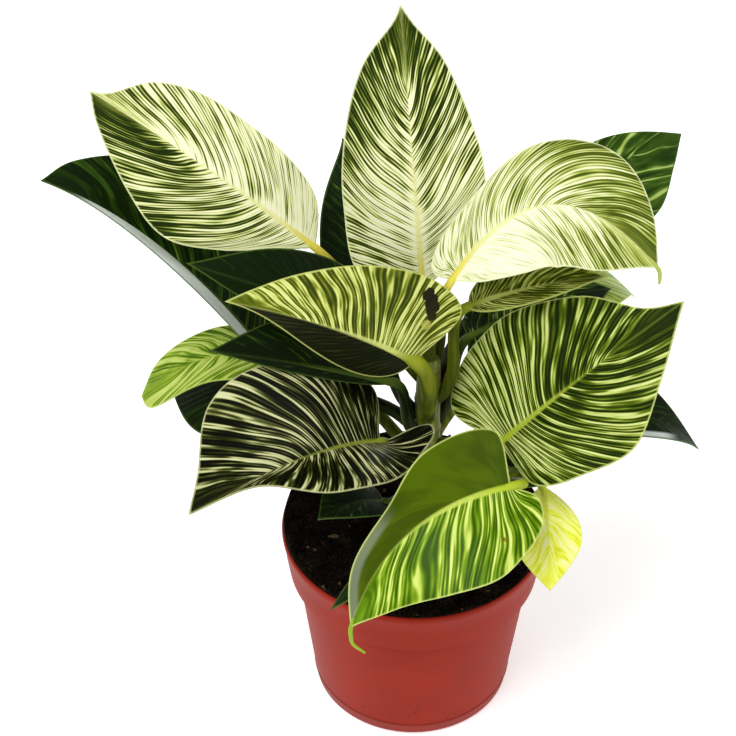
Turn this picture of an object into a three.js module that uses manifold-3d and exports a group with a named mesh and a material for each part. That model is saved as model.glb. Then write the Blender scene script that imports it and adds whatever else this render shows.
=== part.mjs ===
// Philodendron birkin in a 12 cm terracotta-coloured plastic nursery pot.
// Millimetres, +Z up. The origin is the middle of the pot's underside and -Y is the front.

import * as THREE from 'three';
import { mergeVertices } from 'three/addons/utils/BufferGeometryUtils.js';
import Module from 'manifold-3d';

const wasm = await Module();
wasm.setup();

// Driving dimensions: the gap left between neighbouring pieces
const GAP = 0.3;

// Driving dimensions: pot
const POT_HEIGHT = 93;
const RIM_RADIUS = 60;
const COLLAR_HEIGHT = 24;
const COLLAR_FOOT_RADIUS = 57;
const BODY_TOP_RADIUS = 53.5;
const FOOT_RADIUS = 45.5;
const FOOT_ROUND = 2;
const POT_WALL = 1.4;
const POT_FLOOR = 2.4;
const LIP_WIDTH = 2.2;
const LIP_DROP = 3;
const RECESS_DEPTH = 1.4;
const RECESS_INNER = 13;
const RECESS_OUTER = 37;
const COLLAR_STEP_RISE = 2;
const COLLAR_STEP_DROP = 1;
const DRAIN_RADIUS = 4;
const DRAIN_CIRCLE = 27;
const DRAIN_COUNT = 6;
const DRAIN_SIDES = 12;
const EDGE_BREAK = 0.4;
const POT_SIDES = 44;

// Driving dimensions: soil
const SOIL_EDGE_HEIGHT = 1.2;
const SOIL_MOUND = 2;
const SOIL_HEAP = 4;
const SOIL_HEAP_DIRECTION = 150;
const SOIL_LUMP = 0.9;
const SOIL_ON_LIP = 0.6;
const SOIL_INSET = 0.5;
const SOIL_SECTORS = 36;
const SOIL_RINGS = 9;

// Driving dimensions: stem, a slightly leaning stalk with a ring at each old leaf scar
const STEM_FOOT = [4, 0, 70];
const STEM_TOP = [5, 2, 186];
const STEM_FOOT_RADIUS = 8;
const STEM_TOP_RADIUS = 5;
const STEM_SIDES = 12;
const STEM_RING_SPACING = 16;
const STEM_RING_RISE = 0.45;
const STEM_RING_WIDTH = 4;
const STEM_TIP_ROUND = 1.5;

// Driving dimensions: leaves
const BLADE_THICKNESS = 0.8;
const BLADE_ROW_LENGTH = 11;
const FEWEST_ROWS = 6;
const MOST_ROWS = 10;
const BLADE_COLUMNS = 4;
const STALK_ROOT_RADIUS = 3;
const STALK_NECK_RADIUS = 2.1;
const RIB_END_RADIUS = 0.5;
const RIB_END = 0.86;
const RIB_TAPER = 0.6;
const RIB_SINK = 0.5;
const STALK_STEPS = 6;
const RIB_STEPS = 4;
const STALK_SIDES = 5;
const STALK_SINK = 1.5;
const STALK_LAUNCH = 0.4;
const STALK_ARRIVAL = 0.3;
const ROW_LEAD = 1.8;
const DRIP_TIP = 0.12;
const MARGIN_SAMPLES = 40;
const WAVE_SHIFT = 1.7;
const TAIL_RADIUS = 0.9;

const PLASTIC = 0xb5493a;
const EARTH = 0x241a14;
const CANE = 0x6d8436;
const YOUNG = 0xc9d29a;
const STRIPED = 0x6f8f3a;
const DARK = 0x2c4a1c;
const LIME = 0xb4c84a;

// One entry a leaf, from the youngest at the crown down to the oldest at the soil.
// base and tip: the two ends of the blade's midrib. root: height on the stem and direction
// round it in degrees, with 0 to the right and 90 to the back. arch and sway: how far the
// midrib bows towards the upper face and sideways, most at crest. roll: the blade's turn
// about its own length. fold: how each half rises from the midrib in degrees. margins: the
// points that each half's margin passes through between base and tip, as a share of the
// length and a distance from the midrib. Where a leaf has none, its margin is an oval:
// halves: the two half-widths. lobes: how far each half reaches back past the base. belly:
// which end each half is fullest at. wave: the height of the margin's waves, and waves: how
// many there are. perk: how steeply the lobes behind the base turn up. girth: how thick the
// stalk is. tail: where the drawn-out tip goes on, past the blade.
const LEAVES = [
  { name: 'leaf_crown', color: YOUNG, base: [2, 10, 219], tip: [-8, 54, 328], root: [186, 90],
    arch: 3, roll: 14, fold: [12, -4], wave: 0.8,
    margins: [
      [[0.09, 26], [0.34, 30], [0.58, 27], [0.8, 18], [0.94, 4]],
      [[0.14, 19], [0.36, 29], [0.59, 25], [0.8, 16], [0.93, 5]],
    ] },
  { name: 'leaf_upper_right', color: YOUNG, base: [13, -7, 236], tip: [96, -7, 242], root: [179, 60],
    arch: 8, sway: -27, roll: -35, tail: [[97, -8, 238], [97, -8, 235]],
    margins: [
      [[-0.02, 8], [0.05, 14], [0.25, 17.5], [0.5, 27.5], [0.7, 28], [0.87, 16]],
      [[0.06, 13], [0.2, 23], [0.42, 26], [0.63, 26], [0.86, 20]],
    ] },
  { name: 'leaf_upper_left', color: YOUNG, base: [-43, 17, 235], tip: [-135, 50, 290], root: [176, 160],
    arch: 4, crest: 0.45, roll: 30, fold: [5, 5], wave: 0.8,
    margins: [
      [[0.12, 10], [0.33, 28], [0.5, 35.5], [0.7, 27.5], [0.9, 12]],
      [[0.12, 18], [0.36, 25], [0.64, 25.5], [0.83, 19], [0.94, 4]],
    ] },
  { name: 'leaf_back_left', color: DARK, base: [-19, 36, 200], tip: [-32, 72, 253], root: [170, 110],
    arch: 4, halves: [26, 20], fold: [25, 25], belly: [0.3, 0.15] },
  { name: 'leaf_under_right', color: STRIPED, base: [21, 3, 215], tip: [78, 6, 228], root: [167, -10],
    arch: 4, roll: -20, halves: [14, 8], fold: [5, 5], lobes: [0, 0] },
  { name: 'leaf_back_right', color: DARK, base: [52, 50, 215], tip: [117, 90, 243], root: [164, 65],
    arch: 10, roll: -10, halves: [18, 31], fold: [5, 5], belly: [0.05, -0.1],
    margins: [
      null,
      [[0.08, 20], [0.3, 32], [0.54, 32], [0.79, 16]],
    ] },
  { name: 'leaf_middle_left', color: STRIPED, base: [-2, -22, 206], tip: [-76, -44, 254], root: [160, 265],
    arch: 4, sway: 4, roll: 75, halves: [19, 34], fold: [-30, 2], lobes: [0.1, 0.5], belly: [0.6, 0.25],
    girth: 1.5,
    margins: [
      null,
      [[-0.08, 26], [0.16, 33.5], [0.46, 29], [0.72, 18], [0.9, 7]],
    ] },
  { name: 'leaf_left_dark', color: DARK, base: [-21, -3, 210], tip: [-94, -10, 247], root: [157, 180],
    arch: 8, roll: 50, halves: [10, 20], fold: [-10, 0], lobes: [0.1, 0.1] },
  { name: 'leaf_right_shaded', color: DARK, base: [23, 15, 189], tip: [86, 46, 191], root: [152, 25],
    arch: 8, roll: -20, halves: [16, 20], fold: [5, 5], lobes: [0.1, 0.3] },
  { name: 'leaf_left_shaded', color: DARK, base: [-11, -9, 184], tip: [-85, -35, 222], root: [148, 215],
    arch: 2, roll: 25, halves: [5, 22], fold: [-60, 5], lobes: [0, -0.1] },
  { name: 'leaf_far_left', color: DARK, base: [-60, -2, 186], tip: [-156, 32, 258], root: [145, 150],
    arch: 13, crest: 0.6, halves: [20, 38], fold: [32, 12], lobes: [0.1, 0.1], belly: [0.5, 0],
    margins: [
      null,
      [[0.12, 20], [0.4, 38], [0.72, 33], [0.93, 16]],
    ] },
  { name: 'leaf_right_large', color: STRIPED, base: [35, -22, 161], tip: [106, -18, 234], root: [140, -25],
    arch: 4, crest: 0.4, roll: -40, fold: [0, 5], wave: 0.8,
    margins: [
      [[-0.12, 25], [0.08, 38], [0.4, 41], [0.7, 28], [0.87, 8]],
      [[0.06, 24], [0.32, 34], [0.58, 37], [0.8, 20]],
    ] },
  { name: 'leaf_back_pale', color: LIME, base: [50, 40, 168], tip: [100, 66, 171], root: [136, 60],
    arch: 20, halves: [26, 26], fold: [5, 5] },
  { name: 'leaf_left_pale', color: LIME, base: [-50, 20, 174], tip: [-119, 6, 163], root: [131, 155],
    arch: 13, roll: 5, fold: [0, -8],
    margins: [
      [[0.08, 16], [0.3, 18], [0.58, 14], [0.86, 13], [0.97, 9]],
      [[0.06, 17], [0.33, 20], [0.6, 19], [0.87, 14]],
    ] },
  { name: 'leaf_lower_left', color: STRIPED, base: [-16, -19, 159], tip: [-93, -73, 168], root: [127, 225],
    arch: 12, crest: 0.45, roll: 20, fold: [28, 33], perk: 7, wave: 0.8,
    margins: [
      [[-0.12, 1], [-0.15, 7], [-0.08, 16], [0.24, 32], [0.5, 29], [0.72, 6]],
      [[0.01, 22], [0.25, 34], [0.53, 42], [0.76, 35.5], [0.9, 13]],
    ] },
  { name: 'leaf_right_dark', color: DARK, base: [62, 12, 141], tip: [127, 13, 126], root: [123, 15],
    arch: 16, roll: -10, halves: [26, 14], fold: [5, 5], belly: [0.5, 0.15] },
  { name: 'leaf_left_low', color: DARK, base: [-45, 6, 162], tip: [-107, 18, 157], root: [119, 180],
    arch: 6, halves: [36, 24], fold: [0, 5], lobes: [0.1, 0.1], belly: [-0.3, 0] },
  { name: 'leaf_front', color: STRIPED, base: [38, -50, 162], tip: [-28, -84, 114], root: [114, -60],
    arch: 14, sway: 10, roll: 25, fold: [0, 20], tail: [[-28, -86, 111], [-27, -87, 107], [-22, -89, 104]],
    margins: [
      [[-0.11, 8], [-0.05, 23], [0.2, 36], [0.55, 30], [0.83, 14.5]],
      [[0.01, 24], [0.26, 25], [0.49, 14], [0.78, 9]],
    ] },
  { name: 'leaf_soil_left', color: DARK, base: [-14, -30, 134], tip: [-42, -50, 143], root: [113, 222],
    arch: 4, halves: [12, 18], fold: [5, 5] },
  { name: 'leaf_right_low', color: DARK, base: [42, 3, 122], tip: [72, 14, 108], root: [109, 30],
    arch: 6, halves: [16, 16], fold: [5, 5] },
  { name: 'leaf_lime', color: LIME, base: [54, -24, 138], tip: [56, -62, 113], root: [107, -30],
    arch: 8, halves: [15, 15], fold: [-10, -10], lobes: [-0.1, -0.1], belly: [-0.1, -0.1] },
  { name: 'leaf_rim', color: DARK, base: [0, -42, 118], tip: [-37, -66, 105], root: [106, 265],
    arch: 4, halves: [8, 6], fold: [5, 5] },
];

const PLAIN_LEAF = {
  arch: 0, sway: 0, crest: 0.5, roll: 0, fold: [0, 0], margins: [null, null],
  lobes: [0.3, 0.3], belly: [0.15, 0.15], wave: 0, waves: 3, girth: 1, perk: 0,
};

const radians = THREE.MathUtils.degToRad;
const vector = ([x, y, z]) => new THREE.Vector3(x, y, z);

// A closed geometry as a solid, for cutting and joining
function solidOf(geometry) {
  const bare = geometry.index ? geometry.clone() : geometry;
  bare.deleteAttribute('normal');
  bare.deleteAttribute('uv');
  const merged = mergeVertices(bare, 1e-4);
  const corners = merged.index.array;
  const kept = [];
  for (let i = 0; i < corners.length; i += 3) {
    const [a, b, c] = corners.slice(i, i + 3);
    if (a !== b && b !== c && c !== a) kept.push(a, b, c);
  }
  return new wasm.Manifold(new wasm.Mesh({
    numProp: 3,
    vertProperties: new Float32Array(merged.attributes.position.array),
    triVerts: new Uint32Array(kept),
  }));
}

function geometryOf(solid) {
  const mesh = solid.getMesh();
  const geometry = new THREE.BufferGeometry();
  geometry.setAttribute('position', new THREE.BufferAttribute(mesh.vertProperties, 3));
  geometry.setIndex(new THREE.BufferAttribute(mesh.triVerts, 1));
  geometry.computeVertexNormals();
  return geometry;
}

function piece(name, geometry, color, roughness) {
  const material = new THREE.MeshStandardMaterial({ color, roughness, metalness: 0 });
  const mesh = new THREE.Mesh(geometry, material);
  mesh.name = name;
  return mesh;
}

// A round tapered rod through the given points, closed at both ends
function taperedRod(points, radii, sides) {
  const positions = [];
  const index = [];
  const up = new THREE.Vector3(0, 0, 1);
  const side = new THREE.Vector3();
  points.forEach((point, i) => {
    const before = points[Math.max(i - 1, 0)];
    const after = points[Math.min(i + 1, points.length - 1)];
    const along = after.clone().sub(before).normalize();
    if (i === 0) side.crossVectors(along, Math.abs(along.z) > 0.9 ? new THREE.Vector3(0, 1, 0) : up);
    side.addScaledVector(along, -side.dot(along)).normalize();
    const other = new THREE.Vector3().crossVectors(along, side);
    for (let k = 0; k < sides; k += 1) {
      const angle = 2 * Math.PI * k / sides;
      const corner = point.clone()
        .addScaledVector(side, radii[i] * Math.cos(angle))
        .addScaledVector(other, radii[i] * Math.sin(angle));
      positions.push(corner.x, corner.y, corner.z);
    }
  });
  for (let i = 0; i < points.length - 1; i += 1) {
    for (let k = 0; k < sides; k += 1) {
      const a = i * sides + k;
      const b = i * sides + (k + 1) % sides;
      index.push(a, b, b + sides, a, b + sides, a + sides);
    }
  }
  const last = (points.length - 1) * sides;
  for (let k = 1; k < sides - 1; k += 1) {
    index.push(0, k + 1, k, last, last + k, last + k + 1);
  }
  const geometry = new THREE.BufferGeometry();
  geometry.setAttribute('position', new THREE.Float32BufferAttribute(positions, 3));
  geometry.setIndex(index);
  return geometry;
}

// Pot: one lathed wall with a collar, a lip, and a recess under its floor for the drain holes
function potRadius(height) {
  const collarFoot = POT_HEIGHT - COLLAR_HEIGHT;
  if (height < collarFoot) {
    return THREE.MathUtils.mapLinear(height, 0, collarFoot, FOOT_RADIUS, BODY_TOP_RADIUS);
  }
  return THREE.MathUtils.mapLinear(height, collarFoot, POT_HEIGHT, COLLAR_FOOT_RADIUS, RIM_RADIUS);
}

function makePot() {
  const collarFoot = POT_HEIGHT - COLLAR_HEIGHT;
  const profile = [
    [0, 0],
    [RECESS_INNER, 0],
    [RECESS_INNER, RECESS_DEPTH],
    [RECESS_OUTER, RECESS_DEPTH],
    [RECESS_OUTER, 0],
    [FOOT_RADIUS - FOOT_ROUND, 0],
    [FOOT_RADIUS - FOOT_ROUND * 0.3, FOOT_ROUND * 0.3],
    [potRadius(FOOT_ROUND), FOOT_ROUND],
    [BODY_TOP_RADIUS, collarFoot],
    [COLLAR_FOOT_RADIUS, collarFoot + 2 * EDGE_BREAK],
    [RIM_RADIUS - EDGE_BREAK, POT_HEIGHT - EDGE_BREAK],
    [RIM_RADIUS - 2 * EDGE_BREAK, POT_HEIGHT],
    [RIM_RADIUS - LIP_WIDTH, POT_HEIGHT],
    [RIM_RADIUS - LIP_WIDTH, POT_HEIGHT - LIP_DROP],
    [COLLAR_FOOT_RADIUS - POT_WALL, collarFoot + COLLAR_STEP_RISE],
    [BODY_TOP_RADIUS - POT_WALL, collarFoot - COLLAR_STEP_DROP],
    [potRadius(POT_FLOOR) - POT_WALL, POT_FLOOR + RECESS_DEPTH],
    [0, POT_FLOOR + RECESS_DEPTH],
  ].map(([radius, height]) => new THREE.Vector2(radius, height));
  const lathe = new THREE.LatheGeometry(profile, POT_SIDES);
  lathe.rotateX(Math.PI / 2);
  let solid = solidOf(lathe);
  const drainCut = 4 * (POT_FLOOR + RECESS_DEPTH);
  for (let k = 0; k < DRAIN_COUNT; k += 1) {
    const angle = 2 * Math.PI * (k + 0.5) / DRAIN_COUNT;
    const drain = new THREE.CylinderGeometry(DRAIN_RADIUS, DRAIN_RADIUS, drainCut, DRAIN_SIDES);
    drain.rotateX(Math.PI / 2);
    drain.translate(DRAIN_CIRCLE * Math.cos(angle), DRAIN_CIRCLE * Math.sin(angle), 0);
    solid = solid.subtract(solidOf(drain));
  }
  return piece('pot', geometryOf(solid), PLASTIC, 0.55);
}

// Stem: a leaning stalk, thicker at each ring
function stemAxis(height) {
  const share = (height - STEM_FOOT[2]) / (STEM_TOP[2] - STEM_FOOT[2]);
  return vector(STEM_FOOT).lerp(vector(STEM_TOP), share);
}

function stemRadius(height) {
  return THREE.MathUtils.mapLinear(height, STEM_FOOT[2], STEM_TOP[2], STEM_FOOT_RADIUS, STEM_TOP_RADIUS);
}

function stemSolid(grow) {
  const points = [];
  const radii = [];
  const addStation = (height, radius) => {
    points.push(stemAxis(height));
    radii.push(radius + grow);
  };
  addStation(STEM_FOOT[2] - grow, stemRadius(STEM_FOOT[2]));
  const ringCount = Math.floor((STEM_TOP[2] - STEM_FOOT[2] - STEM_RING_WIDTH) / STEM_RING_SPACING);
  for (let i = 1; i <= ringCount; i += 1) {
    const height = STEM_FOOT[2] + STEM_RING_SPACING * i;
    addStation(height - STEM_RING_WIDTH / 2, stemRadius(height));
    addStation(height, stemRadius(height) + STEM_RING_RISE);
    addStation(height + STEM_RING_WIDTH / 2, stemRadius(height));
  }
  addStation(STEM_TOP[2], STEM_TOP_RADIUS);
  addStation(STEM_TOP[2] + STEM_TIP_ROUND + grow, STEM_TOP_RADIUS - STEM_TIP_ROUND);
  return solidOf(taperedRod(points, radii, STEM_SIDES));
}

// Soil: fills the pot, covers its lip and is heaped towards the back left
function soilHeight(radius, angle) {
  const share = radius / RIM_RADIUS;
  const towardHeap = Math.max(Math.cos(angle - radians(SOIL_HEAP_DIRECTION)), 0);
  const heap = SOIL_HEAP * towardHeap * 2 * share * (1.4 - share);
  const lumps = Math.sin(5 * angle + 9 * share) + Math.sin(8 * angle - 13 * share + 1)
    + Math.sin(13 * angle + 21 * share + 2);
  const height = SOIL_EDGE_HEIGHT + SOIL_MOUND * (1 - share ** 2) + heap;
  return POT_HEIGHT + height + SOIL_LUMP * lumps * (0.35 + 0.65 * Math.sin(Math.PI * share));
}

function makeSoil() {
  const lipTop = POT_HEIGHT + GAP;
  const lipInner = RIM_RADIUS - LIP_WIDTH - 2 * GAP;
  const collarFoot = POT_HEIGHT - COLLAR_HEIGHT;
  const wall = [
    [RIM_RADIUS - 2 * SOIL_INSET, lipTop],
    [lipInner, lipTop],
    [lipInner, POT_HEIGHT - LIP_DROP],
    [COLLAR_FOOT_RADIUS - POT_WALL - 3 * GAP, collarFoot + COLLAR_STEP_RISE + GAP],
    [BODY_TOP_RADIUS - POT_WALL - 3 * GAP, collarFoot - COLLAR_STEP_DROP],
    [potRadius(POT_FLOOR) - POT_WALL - 3 * GAP, POT_FLOOR + RECESS_DEPTH + GAP],
  ];
  const rings = [];
  for (let i = 1; i <= SOIL_RINGS; i += 1) {
    const radius = (RIM_RADIUS - SOIL_INSET) * i / SOIL_RINGS;
    rings.push((angle) => [radius, Math.max(soilHeight(radius, angle), lipTop + SOIL_ON_LIP)]);
  }
  wall.forEach(([radius, height]) => rings.push(() => [radius, height]));
  const positions = [0, 0, soilHeight(0, 0)];
  rings.forEach((ring) => {
    for (let k = 0; k < SOIL_SECTORS; k += 1) {
      const angle = 2 * Math.PI * k / SOIL_SECTORS;
      const [radius, height] = ring(angle);
      positions.push(radius * Math.cos(angle), radius * Math.sin(angle), height);
    }
  });
  positions.push(0, 0, wall.at(-1)[1]);
  const index = [];
  const at = (ring, k) => 1 + ring * SOIL_SECTORS + k % SOIL_SECTORS;
  const bottom = 1 + rings.length * SOIL_SECTORS;
  for (let k = 0; k < SOIL_SECTORS; k += 1) {
    index.push(0, at(0, k), at(0, k + 1));
    for (let i = 0; i < rings.length - 1; i += 1) {
      index.push(at(i, k), at(i + 1, k), at(i + 1, k + 1));
      index.push(at(i, k), at(i + 1, k + 1), at(i, k + 1));
    }
    index.push(bottom, at(rings.length - 1, k + 1), at(rings.length - 1, k));
  }
  const geometry = new THREE.BufferGeometry();
  geometry.setAttribute('position', new THREE.Float32BufferAttribute(positions, 3));
  geometry.setIndex(index);
  return piece('soil', geometryOf(solidOf(geometry).subtract(stemSolid(GAP))), EARTH, 0.95);
}

// Leaf: the midrib is a curve from base to tip, with a side and an upper direction along it
function leafFrame(leaf) {
  const base = vector(leaf.base);
  const tip = vector(leaf.tip);
  const chord = tip.clone().sub(base).normalize();
  const level = new THREE.Vector3().crossVectors(chord, new THREE.Vector3(0, 0, 1)).normalize();
  const rise = new THREE.Vector3().crossVectors(level, chord);
  const roll = radians(leaf.roll);
  const side = level.clone().multiplyScalar(Math.cos(roll)).addScaledVector(rise, Math.sin(roll));
  const upper = rise.clone().multiplyScalar(Math.cos(roll)).addScaledVector(level, -Math.sin(roll));
  const bow = base.clone().lerp(tip, leaf.crest)
    .addScaledVector(upper, 2 * leaf.arch)
    .addScaledVector(side, 2 * leaf.sway);
  return { rib: new THREE.QuadraticBezierCurve3(base, bow, tip), side, length: base.distanceTo(tip) };
}

function ribStation(leaf, frame, share) {
  const inside = THREE.MathUtils.clamp(share, 0, 1);
  const along = frame.rib.getTangent(inside);
  const point = frame.rib.getPoint(inside).addScaledVector(along, Math.min(share, 0) * frame.length);
  const side = frame.side.clone().addScaledVector(along, -frame.side.dot(along)).normalize();
  return { point, side, upper: new THREE.Vector3().crossVectors(side, along) };
}

// The oval margin of one half: a share of the blade's length and a width
function ovalMargin(leaf, half, turn) {
  const course = (1 - Math.cos(Math.PI * turn)) / 2;
  const swing = Math.sin(Math.PI * turn);
  const belly = leaf.belly[half];
  const fullness = (c) => (belly >= 0 ? (1 - c) ** belly : c ** -belly) * Math.sqrt(1 - c ** 9);
  let widest = 0;
  for (let i = 1; i < MARGIN_SAMPLES; i += 1) {
    const angle = Math.PI * i / MARGIN_SAMPLES;
    widest = Math.max(widest, Math.sin(angle) * fullness((1 - Math.cos(angle)) / 2));
  }
  const lobe = leaf.lobes[half] * swing * (1 - course) ** 2;
  return {
    share: course * (1 - DRIP_TIP) + DRIP_TIP * course ** 8 - lobe,
    width: leaf.halves[half] * swing * fullness(Math.min(course, 1)) / widest,
  };
}

// Where the margin of one half is, with turn from 0 at the base to 1 at the tip
function marginAt(leaf, half, turn) {
  const between = leaf.margins[half];
  if (!between) return ovalMargin(leaf, half, turn);
  const corners = [[0, 0], ...between, [1, 0]].map(([share, width]) => vector([share, width, 0]));
  const { x, y } = new THREE.CatmullRomCurve3(corners, false, 'catmullrom').getPoint(turn);
  return { share: x, width: y };
}

// A point of the blade: turn runs from base to tip, out runs from the midrib to the margin.
// Rows of equal turn leave the midrib ahead of the margin's own share near the base.
function bladePoint(leaf, frame, half, turn, out) {
  const margin = marginAt(leaf, half, turn);
  const share = THREE.MathUtils.lerp(turn ** ROW_LEAD, margin.share, out);
  const width = margin.width * out;
  const { point, side, upper } = ribStation(leaf, frame, share);
  const lift = radians(leaf.fold[half]);
  const phase = 2 * Math.PI * leaf.waves * share + half * WAVE_SHIFT;
  const wave = leaf.wave * Math.sin(phase) * Math.sin(Math.PI * turn) * out ** 2;
  const perk = leaf.perk * frame.length * Math.min(share, 0) ** 2;
  return point
    .addScaledVector(side, (half ? 1 : -1) * width * Math.cos(lift))
    .addScaledVector(upper, width * Math.sin(lift) + wave + perk);
}

// The blade: one thin sheet, its upper and lower faces split into triangles alike
function bladeGeometry(leaf, frame) {
  const rowsWanted = Math.round(frame.length / BLADE_ROW_LENGTH);
  const rows = THREE.MathUtils.clamp(rowsWanted, FEWEST_ROWS, MOST_ROWS);
  const columns = 2 * BLADE_COLUMNS + 1;
  const grid = [];
  for (let i = 0; i <= rows; i += 1) {
    const row = [];
    for (let j = 0; j < columns; j += 1) {
      const half = j < BLADE_COLUMNS ? 0 : 1;
      const out = Math.abs(j - BLADE_COLUMNS) / BLADE_COLUMNS;
      row.push(bladePoint(leaf, frame, half, i / rows, out));
    }
    grid.push(row);
  }
  const normalAt = (i, j) => {
    if (i === 0) return ribStation(leaf, frame, 0).upper;
    if (i === rows) return ribStation(leaf, frame, 1).upper;
    const across = grid[i][Math.min(j + 1, columns - 1)].clone().sub(grid[i][Math.max(j - 1, 0)]);
    const along = grid[i + 1][j].clone().sub(grid[i - 1][j]);
    return across.cross(along).normalize();
  };
  // Each face is a list of rows of corner numbers; all of a pole's row is one corner
  const positions = [];
  const addFace = (lift) => grid.map((row, i) => {
    const isPole = i === 0 || i === rows;
    return row.map((point, j) => {
      if (!isPole || j === 0) {
        const corner = point.clone().addScaledVector(normalAt(i, j), lift);
        positions.push(corner.x, corner.y, corner.z);
      }
      return positions.length / 3 - 1;
    });
  });
  const above = addFace(BLADE_THICKNESS / 2);
  const below = addFace(-BLADE_THICKNESS / 2);
  const index = [];
  const addTriangle = (a, b, c) => {
    if (a !== b && b !== c && c !== a) index.push(a, b, c);
  };
  for (let i = 0; i < rows; i += 1) {
    for (let j = 0; j < columns - 1; j += 1) {
      addTriangle(above[i][j], above[i][j + 1], above[i + 1][j + 1]);
      addTriangle(above[i][j], above[i + 1][j + 1], above[i + 1][j]);
      addTriangle(below[i][j], below[i + 1][j + 1], below[i][j + 1]);
      addTriangle(below[i][j], below[i + 1][j], below[i + 1][j + 1]);
    }
    const end = columns - 1;
    addTriangle(above[i][0], above[i + 1][0], below[i][0]);
    addTriangle(above[i + 1][0], below[i + 1][0], below[i][0]);
    addTriangle(above[i][end], below[i][end], above[i + 1][end]);
    addTriangle(above[i + 1][end], below[i][end], below[i + 1][end]);
  }
  const geometry = new THREE.BufferGeometry();
  geometry.setAttribute('position', new THREE.Float32BufferAttribute(positions, 3));
  geometry.setIndex(index);
  return geometry;
}

// The stalk from the stem to the blade, which runs on under the blade as its midrib
function stalkGeometry(leaf, frame) {
  const [height, direction] = leaf.root;
  const angle = radians(direction);
  const outward = new THREE.Vector3(Math.cos(angle), Math.sin(angle), 0);
  const onTop = height >= STEM_TOP[2];
  const start = stemAxis(height);
  const base = vector(leaf.base);
  const reach = start.distanceTo(base);
  const launch = onTop ? new THREE.Vector3(0, 0, 1) : outward.clone().setZ(1).normalize();
  if (!onTop) start.addScaledVector(outward, stemRadius(height) - STALK_SINK);
  const arrive = frame.rib.getTangent(0);
  const stalk = new THREE.CubicBezierCurve3(
    start,
    start.clone().addScaledVector(launch, reach * STALK_LAUNCH),
    base.clone().addScaledVector(arrive, -reach * STALK_ARRIVAL),
    base,
  );
  const points = [];
  const radii = [];
  for (let i = 0; i <= STALK_STEPS; i += 1) {
    const share = i / STALK_STEPS;
    points.push(stalk.getPoint(share));
    radii.push(leaf.girth * THREE.MathUtils.lerp(STALK_ROOT_RADIUS, STALK_NECK_RADIUS, share));
  }
  for (let i = 1; i <= RIB_STEPS; i += 1) {
    const share = i / RIB_STEPS;
    const { point, upper } = ribStation(leaf, frame, share * RIB_END);
    const radius = THREE.MathUtils.lerp(leaf.girth * STALK_NECK_RADIUS, RIB_END_RADIUS, share ** RIB_TAPER);
    points.push(point.addScaledVector(upper, -RIB_SINK * radius));
    radii.push(radius);
  }
  return taperedRod(points, radii, STALK_SIDES);
}

// A drawn-out tip that goes on past the blade
function tailGeometry(leaf, frame) {
  const start = frame.rib.getPoint(RIB_END);
  const points = [start, vector(leaf.tip), ...leaf.tail.map(vector)];
  return taperedRod(points, points.map(() => TAIL_RADIUS), STALK_SIDES);
}

function makeLeaf(entry, stemRoom) {
  const leaf = { ...PLAIN_LEAF, ...entry };
  const frame = leafFrame(leaf);
  const blade = solidOf(bladeGeometry(leaf, frame));
  const stalk = solidOf(stalkGeometry(leaf, frame));
  let solid = blade.add(stalk).subtract(stemRoom);
  if (leaf.tail) solid = solid.add(solidOf(tailGeometry(leaf, frame)));
  return piece(leaf.name, geometryOf(solid), leaf.color, 0.4);
}

const plant = new THREE.Group();
plant.name = 'potted_birkin_philodendron';
plant.add(makePot());
plant.add(makeSoil());
plant.add(piece('stem', geometryOf(stemSolid(0)), CANE, 0.5));
const stemRoom = stemSolid(GAP);
LEAVES.forEach((leaf) => plant.add(makeLeaf(leaf, stemRoom)));

export default plant;
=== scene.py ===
# %% [markdown]
# # A potted birkin philodendron
# This lesson dresses a young birkin philodendron in its nursery pot. The solids of the part
# (pot, soil, stem, twenty-two leaves) come in as a fixed frame. We keep their form, make each
# again with fine detail, and give each the finish of the real thing: pinstriped leaves with
# pale midribs, crumbly potting mix and satin terracotta-coloured plastic.
# Everything is in metres, +Z up, and the front of the plant faces -Y.

# %% Load the frame
import math
import random
from types import SimpleNamespace

import bpy
import numpy as np
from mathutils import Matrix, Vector


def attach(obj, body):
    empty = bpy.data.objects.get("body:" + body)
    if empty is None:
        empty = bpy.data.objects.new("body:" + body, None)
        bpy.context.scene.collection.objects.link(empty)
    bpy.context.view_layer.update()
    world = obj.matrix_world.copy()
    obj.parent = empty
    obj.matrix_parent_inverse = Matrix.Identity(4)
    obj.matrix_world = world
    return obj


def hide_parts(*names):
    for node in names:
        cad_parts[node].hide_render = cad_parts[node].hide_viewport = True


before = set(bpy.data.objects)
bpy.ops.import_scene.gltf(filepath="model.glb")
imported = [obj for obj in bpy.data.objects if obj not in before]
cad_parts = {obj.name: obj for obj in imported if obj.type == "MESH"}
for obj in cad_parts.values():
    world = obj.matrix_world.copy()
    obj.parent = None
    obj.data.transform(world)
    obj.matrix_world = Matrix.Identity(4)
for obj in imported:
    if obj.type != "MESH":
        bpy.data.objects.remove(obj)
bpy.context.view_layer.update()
bpy.ops.object.select_all(action="DESELECT")

# %% [markdown]
# ## Camera
# The photo was taken from above, about 86 cm away, with a long lens, so the pot's rim shows as
# a wide ellipse and its sides barely converge. A camera a little left of the plant's middle,
# turned down by about 40 degrees, gives the same picture.

# %% Camera
MM = 0.001
CAMERA_PLACE = (-20.9 * MM, -653.0 * MM, 728.1 * MM)
CAMERA_TILT = 50.2
LENS = 98.0
SENSOR_WIDTH = 36

bpy.ops.object.camera_add(location=CAMERA_PLACE, rotation=(math.radians(CAMERA_TILT), 0, 0))
camera = bpy.context.object
camera.name = "photo_camera"
camera.data.lens = LENS
camera.data.sensor_width = SENSOR_WIDTH
bpy.context.scene.camera = camera
print("camera looks down by", round(90 - CAMERA_TILT, 1), "degrees")

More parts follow.
